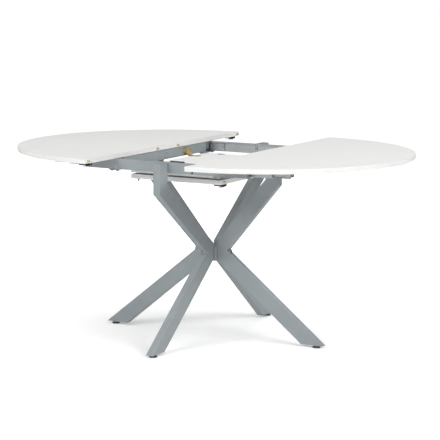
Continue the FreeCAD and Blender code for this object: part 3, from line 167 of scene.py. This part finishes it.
def start_material(name, colour, roughness, metallic=0.0, ior=1.5):
    """A material whose shader holds the plain values. Patterns are added to it after."""
    material = bpy.data.materials.new(name)
    material.use_nodes = True
    tree = material.node_tree
    shader = tree.nodes["Principled BSDF"]
    shader.inputs["Base Color"].default_value = linear(colour)
    shader.inputs["Roughness"].default_value = roughness
    shader.inputs["Metallic"].default_value = metallic
    if not metallic:
        shader.inputs["IOR"].default_value = ior
    place = add(tree, "ShaderNodeTexCoord").outputs["Object"]
    return material, tree, shader, place


def mottle(tree, place, size, low=0.0, high=1.0, detail=3.0):
    """A soft noise with patches of a size in metres, spread over the range from low to high."""
    grain = {"Scale": 1 / size, "Detail": detail}
    noise = add(tree, "ShaderNodeTexNoise", grain, {"Vector": place})
    limits = {"From Min": NOISE_LOW, "From Max": NOISE_HIGH, "To Min": low, "To Max": high}
    spread = add(tree, "ShaderNodeMapRange", limits, {"Value": noise.outputs["Fac"]})
    return spread.outputs["Result"]


def dress(tree, shader, tones, blend, roughness, relief, depth):
    """Joins a material's patterns to its shader.

    One pattern blends the two tones, one is the roughness, and one is the relief, whose full
    height is the depth, in metres.
    """
    ramp = add(tree, "ShaderNodeValToRGB", links={"Fac": blend})
    for stop, tone in zip(ramp.color_ramp.elements, tones):
        stop.color = linear(tone)
    bump = add(tree, "ShaderNodeBump", {"Distance": depth}, {"Height": relief})
    tree.links.new(ramp.outputs["Color"], shader.inputs["Base Color"])
    tree.links.new(roughness, shader.inputs["Roughness"])
    tree.links.new(bump.outputs["Normal"], shader.inputs["Normal"])


def powder_coated_steel():
    """Sprayed polyester powder, baked: satin, with a fine orange peel of about 2 mm."""
    material, tree, shader, place = start_material("powder_coated_steel", "#939A9E", 0.39)
    dress(
        tree,
        shader,
        tones=("#91989B", "#969DA0"),
        blend=mottle(tree, place, 45 * MM),
        roughness=mottle(tree, place, 6 * MM, 0.36, 0.42),
        relief=mottle(tree, place, 2.2 * MM),
        depth=0.02 * MM,
    )
    return material


def melamine_board():
    """White melamine paper pressed on board: matt, with a pearl grain of about 0.8 mm."""
    material, tree, shader, place = start_material("white_melamine_board", "#ECECEA", 0.58)
    dress(
        tree,
        shader,
        tones=("#EBEBE9", "#EDEDEB"),
        blend=mottle(tree, place, 120 * MM),
        roughness=mottle(tree, place, 14 * MM, 0.55, 0.61),
        relief=mottle(tree, place, 0.8 * MM, detail=5),
        depth=0.015 * MM,
    )
    return material


def zinc_plated_steel():
    """Cold-rolled strip, zinc plated: bright, with rolling lines about 1 mm apart along it."""
    material, tree, shader, place = start_material("zinc_plated_steel", "#BFC3C5", 0.44, 1.0)
    along = add(tree, "ShaderNodeMapping", {"Scale": (ROLLED_STRETCH, 1, 1)}, {"Vector": place})
    dress(
        tree,
        shader,
        tones=("#BCC0C2", "#C3C7C9"),
        blend=mottle(tree, place, 9 * MM),
        roughness=mottle(tree, place, 4 * MM, 0.42, 0.47),
        relief=mottle(tree, along.outputs["Vector"], 0.9 * MM),
        depth=0.008 * MM,
    )
    return material


def yellow_passivated_zinc():
    """Stamped steel, zinc plated and chromate dipped: straw gold that drifts to green and pink."""
    material, tree, shader, place = start_material("yellow_passivated_zinc", "#E4CF9C", 0.34, 1.0)
    dress(
        tree,
        shader,
        tones=("#D9CB8E", "#ECD0A8"),
        blend=mottle(tree, place, 6 * MM, detail=4),
        roughness=mottle(tree, place, 3 * MM, 0.28, 0.42),
        relief=mottle(tree, place, 1.2 * MM),
        depth=0.02 * MM,
    )
    return material


def turned_brass():
    """Bar brass turned on a lathe: pale gold, with tool rings along the pin.

    The rings are drawn 1 mm apart, because the tool's real feed of 0.2 mm is too fine to show.
    """
    material, tree, shader, place = start_material("turned_brass", "#DCCFA8", 0.28, 1.0)
    rings = {"bands_direction": "X", "Scale": WAVE_LENGTH / (1.0 * MM)}
    dress(
        tree,
        shader,
        tones=("#D6C89C", "#E2D6B2"),
        blend=mottle(tree, place, 4 * MM),
        roughness=mottle(tree, place, 2 * MM, 0.24, 0.34),
        relief=add(tree, "ShaderNodeTexWave", rings, {"Vector": place}).outputs["Fac"],
        depth=0.02 * MM,
    )
    return material


def moulded_black_plastic():
    """Injection-moulded polypropylene: black, semi-matt, with a spark-eroded grain of 0.9 mm."""
    material, tree, shader, place = start_material(
        "moulded_black_plastic", "#1F2022", 0.5, ior=1.49
    )
    dress(
        tree,
        shader,
        tones=("#1B1C1E", "#242528"),
        blend=mottle(tree, place, 10 * MM),
        roughness=mottle(tree, place, 3 * MM, 0.42, 0.58),
        relief=mottle(tree, place, 0.9 * MM),
        depth=0.05 * MM,
    )
    return material


def moulded_charcoal_plastic():
    """Injection-moulded nylon: dark grey, semi-matt, with a fine grain of about 1 mm."""
    material, tree, shader, place = start_material("moulded_charcoal_plastic", "#55585B", 0.48)
    dress(
        tree,
        shader,
        tones=("#505356", "#5A5D60"),
        blend=mottle(tree, place, 8 * MM),
        roughness=mottle(tree, place, 3 * MM, 0.42, 0.54),
        relief=mottle(tree, place, 1.0 * MM),
        depth=0.04 * MM,
    )
    return material


def moulded_grey_plastic():
    """Injection-moulded polyethylene: semi-matt, tinted a little darker than the frame."""
    material, tree, shader, place = start_material(
        "moulded_grey_plastic", "#6F787C", 0.5, ior=1.51
    )
    dress(
        tree,
        shader,
        tones=("#6B7478", "#747D81"),
        blend=mottle(tree, place, 10 * MM),
        roughness=mottle(tree, place, 3 * MM, 0.44, 0.56),
        relief=mottle(tree, place, 1.0 * MM),
        depth=0.04 * MM,
    )
    return material


def blackened_steel():
    """Cold-forged fasteners and pressed cups, oxide blackened and oiled: a dark, broken sheen."""
    material, tree, shader, place = start_material("blackened_steel", "#303235", 0.4, 0.6)
    dress(
        tree,
        shader,
        tones=("#2A2C2E", "#383A3D"),
        blend=mottle(tree, place, 5 * MM),
        roughness=mottle(tree, place, 3 * MM, 0.32, 0.5),
        relief=mottle(tree, place, 1.0 * MM),
        depth=0.03 * MM,
    )
    return material


def studio_floor_painted_glow():
    """A seamless white floor with painted light: to the camera it glows more further out, so it is
    painted darker towards the table's middle.
    """
    material, tree, shader, place = start_material("studio_floor_painted_glow", "#FFFFFF", 0.9)
    shader.inputs["Specular IOR Level"].default_value = 0.0
    shader.inputs["Emission Color"].default_value = (1, 1, 1, 1)
    away = add(tree, "ShaderNodeVectorMath", {"operation": "LENGTH"}, {0: place})
    limits = {
        "From Min": GLOW_STARTS, "From Max": GLOW_ENDS, "To Min": GLOW_NEAR, "To Max": GLOW_FAR
    }
    # Painted light: a glow that only the camera sees, weakest round the table's middle.
    painted_glow = add(tree, "ShaderNodeMapRange", limits, {"Value": away.outputs["Value"]})
    path = add(tree, "ShaderNodeLightPath")
    seen = add(
        tree,
        "ShaderNodeMath",
        {"operation": "MULTIPLY"},
        {0: painted_glow.outputs["Result"], 1: path.outputs["Is Camera Ray"]},
    )
    tree.links.new(seen.outputs["Value"], shader.inputs["Emission Strength"])
    return material


FINISHES = {
    "white_board": melamine_board(),
    "grey_powder_coat": powder_coated_steel(),
    "dark_steel": blackened_steel(),
    "bright_zinc": zinc_plated_steel(),
    "yellow_zinc": yellow_passivated_zinc(),
    "brass_pin": turned_brass(),
    "grey_plastic": moulded_grey_plastic(),
    "black_plastic": moulded_black_plastic(),
    "charcoal_plastic": moulded_charcoal_plastic(),
}
FEET = ("front", "back", "left", "right")
SLOT_OF = {part["node"]: part["material_slot"] for part in frame["record"]["subparts"]}
# The hub's bolts are bare zinc, and the pads are lighter than the other black plastic.
FINISH_OF = {
    **SLOT_OF,
    "hub_bolts": "bright_zinc",
    **{f"leveller_pad_{foot}": "charcoal_plastic" for foot in FEET},
}
BODY_OF = {
    name: body
    for body, names in frame["record"]["behaviour"]["bodies"].items()
    for name in names
}


def paint_nodes():
    """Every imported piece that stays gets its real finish."""
    for name, piece in nodes.items():
        for place in piece.material_slots:
            place.material = FINISHES[FINISH_OF[name]]


# ---------------------------------------------------------------- ways to model
# An edge that turns by more degrees than these is a sharp one, in rounding and in shading.
SHARP_EDGE = 35
SHARP_SCREW_EDGE = 32
SHARP_MOULDED_EDGE = 30
# Faces that turn by fewer degrees than this are one flat face.
FLAT_FACE = 0.5
# A face looks up or down where its normal's Z is past this.
UPRIGHT = 0.9
# The largest weight that the modifier takes, at which the widest face sets the normals alone.
WIDEST_FACE = 100


def only(thing):
    """Makes one object the only one that the operators act on."""
    bpy.ops.object.select_all(action="DESELECT")
    thing.select_set(True)
    bpy.context.view_layer.objects.active = thing


def start(kind, name, **settings):
    """A primitive at its size and place, ready to be shaped."""
    bpy.ops.object.select_all(action="DESELECT")
    getattr(bpy.ops.mesh, f"primitive_{kind}_add")(**settings)
    piece = bpy.context.object
    piece.name = piece.data.name = name
    bpy.ops.object.transform_apply(location=True, rotation=True, scale=True)
    return piece


def open_with(piece, kind, wanted):
    """Opens a piece in edit mode with the faces or edges selected that a test picks.

    The test is given a face's centre and normal, or the places of an edge's two ends.
    """
    only(piece)
    bpy.ops.object.mode_set(mode="EDIT")
    bpy.ops.mesh.select_mode(type=kind)
    bpy.ops.mesh.select_all(action="DESELECT")
    bpy.ops.object.mode_set(mode="OBJECT")
    mesh = piece.data
    if kind == "FACE":
        for face in mesh.polygons:
            face.select = wanted(face.center, face.normal)
    else:
        for edge in mesh.edges:
            edge.select = wanted(*[mesh.vertices[k].co for k in edge.vertices])
    bpy.ops.object.mode_set(mode="EDIT")


def close():
    bpy.ops.object.mode_set(mode="OBJECT")


def faces_up(centre, normal):
    return normal.z > UPRIGHT


def faces_down(centre, normal):
    return normal.z < -UPRIGHT


def above(height):
    """A test that picks the edges above a height."""
    return lambda a, b: min(a.z, b.z) > height


def below(height):
    """A test that picks the edges below a height."""
    return lambda a, b: max(a.z, b.z) < height


def bevel_edges(piece, wanted, width, steps):
    open_with(piece, "EDGE", wanted)
    bpy.ops.mesh.bevel(offset=width, segments=steps)
    close()


def apply_all(piece):
    only(piece)
    for modifier in list(piece.modifiers):
        bpy.ops.object.modifier_apply(modifier=modifier.name)


def shade(piece, angle=SHARP_EDGE):
    """Shades a piece smooth between its sharp edges, with its flat faces left flat."""
    only(piece)
    bpy.ops.object.shade_smooth_by_angle(angle=math.radians(angle))
    flatten = piece.modifiers.new("flat_faces", "WEIGHTED_NORMAL")
    flatten.weight, flatten.keep_sharp = WIDEST_FACE, True
    apply_all(piece)


def soften(piece, width, steps=2, angle=SHARP_EDGE):
    """Rounds every sharp edge of a piece and shades it smooth between them."""
    bevel = piece.modifiers.new("softened_edges", "BEVEL")
    bevel.width, bevel.segments = width, steps
    bevel.limit_method, bevel.angle_limit = "ANGLE", math.radians(angle)
    apply_all(piece)
    shade(piece, angle)


def combine(piece, tool, operation):
    """Takes a tool's shape out of a piece, or adds it to the piece, and throws the tool away."""
    step = piece.modifiers.new("combined", "BOOLEAN")
    step.operation, step.object, step.solver = operation, tool, "EXACT"
    apply_all(piece)
    bpy.data.objects.remove(tool)


def join_all(pieces, name):
    """Several pieces as one object, with its own mesh at the origin."""
    bpy.ops.object.select_all(action="DESELECT")
    for piece in pieces:
        piece.select_set(True)
    bpy.context.view_layer.objects.active = pieces[0]
    bpy.ops.object.transform_apply(location=True, rotation=True, scale=True)
    if len(pieces) > 1:
        bpy.ops.object.join()
    pieces[0].name = pieces[0].data.name = name
    return pieces[0]


def copy_at(master, place, way=None):
    """A copy of a master with its own mesh, at a place, turned so that its Z goes the way given."""
    copy = bpy.data.objects.new(master.name, master.data.copy())
    bpy.context.scene.collection.objects.link(copy)
    turn = way.to_track_quat("Z", "Y").to_matrix().to_4x4() if way else Matrix()
    copy.matrix_world = Matrix.Translation(place) @ turn
    return copy


def drawn_from(node, whole=True):
    """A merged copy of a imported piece's mesh. Its flat faces can be made whole."""
    piece = bpy.data.objects.new(node + "_finished", nodes[node].data.copy())
    bpy.context.scene.collection.objects.link(piece)
    only(piece)
    bpy.ops.object.mode_set(mode="EDIT")
    bpy.ops.mesh.select_all(action="SELECT")
    bpy.ops.mesh.remove_doubles(threshold=HAIR)
    if whole:
        bpy.ops.mesh.dissolve_limited(angle_limit=math.radians(FLAT_FACE))
    close()
    return piece


def settle(piece, node):
    """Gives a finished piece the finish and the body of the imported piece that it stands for."""
    piece.data.materials.clear()
    piece.data.materials.append(FINISHES[FINISH_OF[node]])
    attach(piece, BODY_OF[node])
    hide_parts(node)


# ---------------------------------------------------------------- pressed, cast and drawn pieces
# The width in millimetres of the rounding on each piece's edges.
SOFT_EDGES = {
    "latch_bases_left": 1.5, "latch_bases_leaf": 1.5,
    "latch_lever_left_front": 0.6, "latch_lever_left_back": 0.6,
    "latch_lever_leaf_upper": 0.6, "latch_lever_leaf_lower": 0.6,
    "catch_plates_right": 1.0, "catch_plates_leaf": 1.0,
    "leaf_handle": 2.0,
    "pivot_brackets": 0.8, "pivot_plates": 0.7, "pivot_and_stop_pins": 0.5,
    "corner_plates": 1.2, "hub_end_plates": 1.0,
    "rail_end_caps": 0.6, "runner_end_caps_left": 0.6, "runner_end_caps_right": 0.6,
    "fold_hinge_cups": 0.5, "fold_hinge_links": 0.8, "foot_nuts": 0.4,
    "slide_outer_members": 0.45,
    "slide_middle_members_left": 0.45, "slide_middle_members_right": 0.45,
    "slide_inner_members_left": 0.45, "slide_inner_members_right": 0.45,
}


def finish_hardware():
    """The small metal and plastic pieces, with the rounded edges of stamping and moulding."""
    for node, width in SOFT_EDGES.items():
        piece = drawn_from(node)
        soften(piece, width * MM)
        settle(piece, node)


# ---------------------------------------------------------------- fasteners
# Points further out than this share of a screw's widest radius belong to its head or its nut.
HEAD_SHARE = 0.9
# A hexagon key's radius, as a share of the head's.
KEY_SHARE = 0.52
# A driver blade's length and thickness as shares of the head's radius, its height and the height
# of its middle as shares of the head's height, and how far its point narrows.
BLADE_LENGTH, BLADE_THICKNESS = 1.05, 0.24
BLADE_HEIGHT, BLADE_MIDDLE = 1.1, 0.75
BLADE_POINT = 0.35
# How far a head's dome and lower edge are rounded, as shares of its height, and how far the tip of
# a shank is chamfered, as a share of its radius.
DOME, LOWER_EDGE, TIP_CHAMFER = 0.6, 0.08, 0.3
# How far a bolt's end stands out of its nut, and the nut's chamfer as a share of its height.
BOLT_END = 0.8 * MM
NUT_CHAMFER = 0.12


def separate_solids(node):
    """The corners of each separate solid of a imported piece, as lists of points."""
    mesh = nodes[node].data
    leader = list(range(len(mesh.vertices)))

    def find(k):
        while leader[k] != k:
            leader[k] = leader[leader[k]]
            k = leader[k]
        return k

    seen = {}
    for point in mesh.vertices:
        key = tuple(round(c / MM, 3) for c in point.co)
        leader[find(point.index)] = find(seen.setdefault(key, point.index))
    for face in mesh.polygons:
        for k in face.vertices[1:]:
            leader[find(k)] = find(face.vertices[0])
    groups = {}
    for point in mesh.vertices:
        groups.setdefault(find(point.index), []).append(point.co.copy())
    return list(groups.values())


def corners(points):
    """The lowest and highest corners of the box that holds some points."""
    low = Vector([min(p[k] for p in points) for k in range(3)])
    high = Vector([max(p[k] for p in points) for k in range(3)])
    return low, high


def measure_screw(points):
    """Where a screw's head sits, which way it faces, its sizes, and the points of its nut."""
    low, high = corners(points)
    size = high - low
    axis = min(range(3), key=lambda k: abs(size[(k + 1) % 3] - size[(k + 2) % 3]))
    middle = (low + high) / 2
    line = Vector([1.0 if k == axis else 0.0 for k in range(3)])

    def off_axis(point):
        return ((point - middle) - line * (point - middle).dot(line)).length

    head_radius = max(off_axis(p) for p in points)
    wide = [p for p in points if off_axis(p) > HEAD_SHARE * head_radius]
    upper = [p for p in wide if p[axis] > middle[axis]]
    lower = [p for p in wide if p[axis] < middle[axis]]
    way, head = (1, upper) if upper else (-1, lower)
    head_low, head_high = corners(head)
    place = middle.copy()
    place[axis] = head_low[axis] if way > 0 else head_high[axis]
    tip = low[axis] if way > 0 else high[axis]
    shank_radius = max(off_axis(p) for p in points if off_axis(p) < HEAD_SHARE * head_radius)
    height = head_high[axis] - head_low[axis]
    sizes = (head_radius, height, shank_radius, abs(place[axis] - tip))
    return place, line * way, sizes, lower if upper else []


def hex_socket(radius, height):
    """The recess for a hexagon key."""
    return start(
        "cylinder",
        "hex_key",
        vertices=6,
        radius=radius * KEY_SHARE,
        depth=height,
        location=(0, 0, height),
    )


def cross_recess(radius, height):
    """The recess for a cross-head driver: two blades that taper to a point."""
    blade = start(
        "cube",
        "driver_blade",
        size=1,
        location=(0, 0, height * BLADE_MIDDLE),
        scale=(radius * BLADE_LENGTH, radius * BLADE_THICKNESS, height * BLADE_HEIGHT),
    )
    open_with(blade, "FACE", faces_down)
    bpy.ops.transform.resize(value=(BLADE_POINT, BLADE_POINT, 1))
    close()
    crossing = copy_at(blade, (0, 0, 0))
    crossing.rotation_euler.z = math.radians(90)
    combine(blade, join_all([crossing], "crossing_blade"), "UNION")
    return blade


def forge_screw(head_radius, head_height, shank_radius, shank_length, recess):
    """A domed head with a driver's recess, over a shank with a chamfered tip.

    The head stands on the origin and the shank goes down from it.
    """
    head = start(
        "cylinder",
        "screw_head",
        vertices=36,
        radius=head_radius,
        depth=head_height,
        location=(0, 0, head_height / 2),
    )
    bevel_edges(head, above(head_height - NEAR), head_height * DOME, 5)
    bevel_edges(head, below(NEAR), head_height * LOWER_EDGE, 2)
    combine(head, recess(head_radius, head_height), "DIFFERENCE")
    shank = start(
        "cylinder",
        "screw_shank",
        vertices=24,
        radius=shank_radius,
        depth=shank_length,
        location=(0, 0, -shank_length / 2),
    )
    bevel_edges(shank, below(NEAR - shank_length), shank_radius * TIP_CHAMFER, 1)
    return join_all([head, shank], "forged_screw")


def hex_nut(points):
    """A chamfered hexagon nut in the box of a round packed one. The bolt's end stands out of it."""
    low, high = corners(points)
    low.z += BOLT_END
    height = high.z - low.z
    nut = start(
        "cylinder",
        "hex_nut",
        vertices=6,
        radius=(high.x - low.x) / 2,
        depth=height,
        location=(low + high) / 2,
    )
    soften(nut, height * NUT_CHAMFER)
    return nut


SCREWS = {
    "corner_bolts": hex_socket,
    "hub_bolts": hex_socket,
    "leg_screws": hex_socket,
    "slide_screws": cross_recess,
    "pivot_plate_screws": cross_recess,
    "top_screws_left": cross_recess,
    "top_screws_right": cross_recess,
    "leaf_screws": cross_recess,
}


def finish_screws():
    """Every fastener as a real one: one is made of each size, then copied to its places."""
    for node, recess in SCREWS.items():
        masters, copies = {}, []
        for points in separate_solids(node):
            place, way, sizes, nut = measure_screw(points)
            key = tuple(round(size / MM, 1) for size in sizes)
            if key not in masters:
                masters[key] = forge_screw(*sizes, recess)
            copies.append(copy_at(masters[key], place, way))
            if nut:
                copies.append(hex_nut(nut))
        piece = join_all(copies, node + "_finished")
        for master in masters.values():
            bpy.data.objects.remove(master)
        shade(piece, SHARP_SCREW_EDGE)
        settle(piece, node)


# ---------------------------------------------------------------- levelling feet
# A pad has an upright rim, a flat ledge, a shoulder that narrows to its neck, and a ring under it
# that stands round a hollow. The faces of its rim are past a share of its radius, and the grips
# are pressed into them, with a pitch in degrees.
PAD_RIM = 4 * MM
PAD_LEDGE = 1.2 * MM
PAD_NECK = 0.82
PAD_RING = 2.5 * MM
PAD_HOLLOW = 1.0 * MM
PAD_ROUNDING = 0.35 * MM
RIM_SHARE = 0.98
GRIP_PITCH = 22.5
GRIP_BORDER = 0.4 * MM
GRIP_DEPTH = 1.0 * MM
# A stud's thread, and the share of the pitch that each flank takes.
THREAD_PITCH = 1.25 * MM
THREAD_FLANK = 0.45


def mould_pad(radius, height):
    """A round pad: a gripped rim, a sloping shoulder, and a hollow under it."""
    pad = start(
        "cylinder",
        "foot_pad",
        vertices=64,
        radius=radius,
        depth=PAD_RIM,
        location=(0, 0, PAD_RIM / 2),
    )
    open_with(pad, "FACE", faces_up)
    bpy.ops.mesh.inset(thickness=PAD_LEDGE)
    bpy.ops.mesh.extrude_region_move(TRANSFORM_OT_translate={"value": (0, 0, height - PAD_RIM)})
    bpy.ops.transform.resize(value=(PAD_NECK, PAD_NECK, 1))
    close()
    open_with(pad, "FACE", faces_down)
    bpy.ops.mesh.inset(thickness=PAD_RING)
    bpy.ops.mesh.extrude_region_move(TRANSFORM_OT_translate={"value": (0, 0, PAD_HOLLOW)})
    close()

    def is_grip(centre, normal):
        turn = math.degrees(math.atan2(centre.y, centre.x)) % GRIP_PITCH
        on_rim = centre.to_2d().length > radius * RIM_SHARE
        return on_rim and turn < GRIP_PITCH / 2

    open_with(pad, "FACE", is_grip)
    bpy.ops.mesh.inset(thickness=GRIP_BORDER, depth=-GRIP_DEPTH)
    close()
    soften(pad, PAD_ROUNDING, angle=SHARP_MOULDED_EDGE)
    return pad


def cut_thread(radius, length):
    """A stud whose thread is one ridge for each pitch of its length."""
    stud = start("cylinder", "foot_stud", vertices=28, radius=radius, depth=THREAD_PITCH)
    bevel_edges(stud, lambda a, b: abs(a.z - b.z) < NEAR, THREAD_PITCH * THREAD_FLANK, 1)
    open_with(stud, "FACE", lambda centre, normal: abs(normal.z) > UPRIGHT)
    bpy.ops.mesh.delete(type="FACE")
    close()
    repeat = stud.modifiers.new("thread", "ARRAY")
    repeat.count = int(length / THREAD_PITCH)
    repeat.use_relative_offset, repeat.use_constant_offset = False, True
    repeat.constant_offset_displace = (0, 0, THREAD_PITCH)
    repeat.use_merge_vertices, repeat.merge_threshold = True, NEAR
    apply_all(stud)
    low, high = corners([point.co for point in stud.data.vertices])
    for end in (low.z, high.z):
        open_with(stud, "EDGE", lambda a, b: max(abs(a.z - end), abs(b.z - end)) < NEAR)
        bpy.ops.mesh.edge_face_add()
        close()
    return stud


def finish_feet():
    """The pads and studs of the four feet, each copied from one that is modelled once."""
    low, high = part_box("leveller_pad_front")
    pad = mould_pad((high.x - low.x) / 2, high.z - low.z)
    low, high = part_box("leveller_stud_front")
    stud = cut_thread((high.x - low.x) / 2, high.z - low.z)
    for foot in FEET:
        low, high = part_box(f"leveller_pad_{foot}")
        middle = (low + high) / 2
        for kind, master, lift in (("pad", pad, 0), ("stud", stud, THREAD_PITCH / 2)):
            node = f"leveller_{kind}_{foot}"
            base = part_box(node)[0].z + lift
            copy = copy_at(master, (middle.x, middle.y, base))
            settle(join_all([copy], node + "_finished"), node)
    bpy.data.objects.remove(pad)
    bpy.data.objects.remove(stud)


# ---------------------------------------------------------------- tops
# The seam is a narrow groove a little way in from the rim.
SEAM_PLACE = 0.4 * MM
SEAM_SIDE = 0.15 * MM
SEAM_DEPTH = 0.12 * MM
# A face is level where its normal's Z is past this.
LEVEL = 0.99999


def finish_tops():
    """Each half of the top, with the fine seam between its face and its edge band."""
    for side in ("left", "right"):
        node = f"top_half_{side}"
        top = drawn_from(node, whole=False)
        low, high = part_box(node)
        inner = high.x if side == "left" else low.x
        face_height = high.z - NEAR

        def is_face(centre, normal):
            return normal.z > LEVEL and centre.z > face_height

        def in_flat_face(a, b):
            flats = ((a.z, b.z, low.z), (a.z, b.z, high.z), (a.x, b.x, inner))
            return any(max(abs(u - w), abs(v - w)) < HAIR for u, v, w in flats)

        open_with(top, "FACE", is_face)
        bpy.ops.mesh.inset(thickness=SEAM_PLACE)
        bpy.ops.mesh.inset(thickness=SEAM_SIDE, depth=-SEAM_DEPTH)
        bpy.ops.mesh.inset(thickness=SEAM_SIDE, depth=SEAM_DEPTH)
        close()
        open_with(top, "EDGE", in_flat_face)
        bpy.ops.mesh.mark_sharp()
        close()
        bpy.ops.object.shade_smooth_by_angle(
            angle=math.radians(SHARP_MOULDED_EDGE), keep_sharp_edges=True
        )
        settle(top, node)


# ---------------------------------------------------------------- fold hinges
# The pin lies along X across its cup, behind the arm's middle.
KNUCKLE_RADIUS = 1.6 * MM
KNUCKLE_LENGTH = 30 * MM
KNUCKLE_SETBACK = 2 * MM
KNUCKLE_ROUNDING = 0.4 * MM
ARM_SIZE = (11 * MM, 12 * MM, 5 * MM)
ARM_ROUNDING = 1.2 * MM


def finish_hinges():
    """The knuckle pin and arm that show in the pocket of each fold hinge cup."""
    pin = start(
        "cylinder",
        "hinge_pin",
        vertices=24,
        radius=KNUCKLE_RADIUS,
        depth=KNUCKLE_LENGTH,
        location=(0, -KNUCKLE_SETBACK, 0),
        rotation=(0, math.radians(90), 0),
    )
    soften(pin, KNUCKLE_ROUNDING)
    arm = start("cube", "hinge_arm", size=1, scale=ARM_SIZE)
    soften(arm, ARM_ROUNDING, 3)
    master = join_all([pin, arm], "hinge_knuckle")
    knuckles = []
    for points in separate_solids("fold_hinge_cups"):
        low, high = corners(points)
        knuckles.append(copy_at(master, (low + high) / 2))
    bpy.data.objects.remove(master)
    piece = join_all(knuckles, "fold_hinge_knuckles")
    piece.data.materials.clear()
    piece.data.materials.append(FINISHES["bright_zinc"])
    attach(piece, "leaf")


set_camera()
whiten_background()
hang_soft_boxes()
lay_floor(studio_floor_painted_glow())
paint_nodes()
finish_hardware()
finish_screws()
finish_feet()
finish_tops()
finish_hinges()
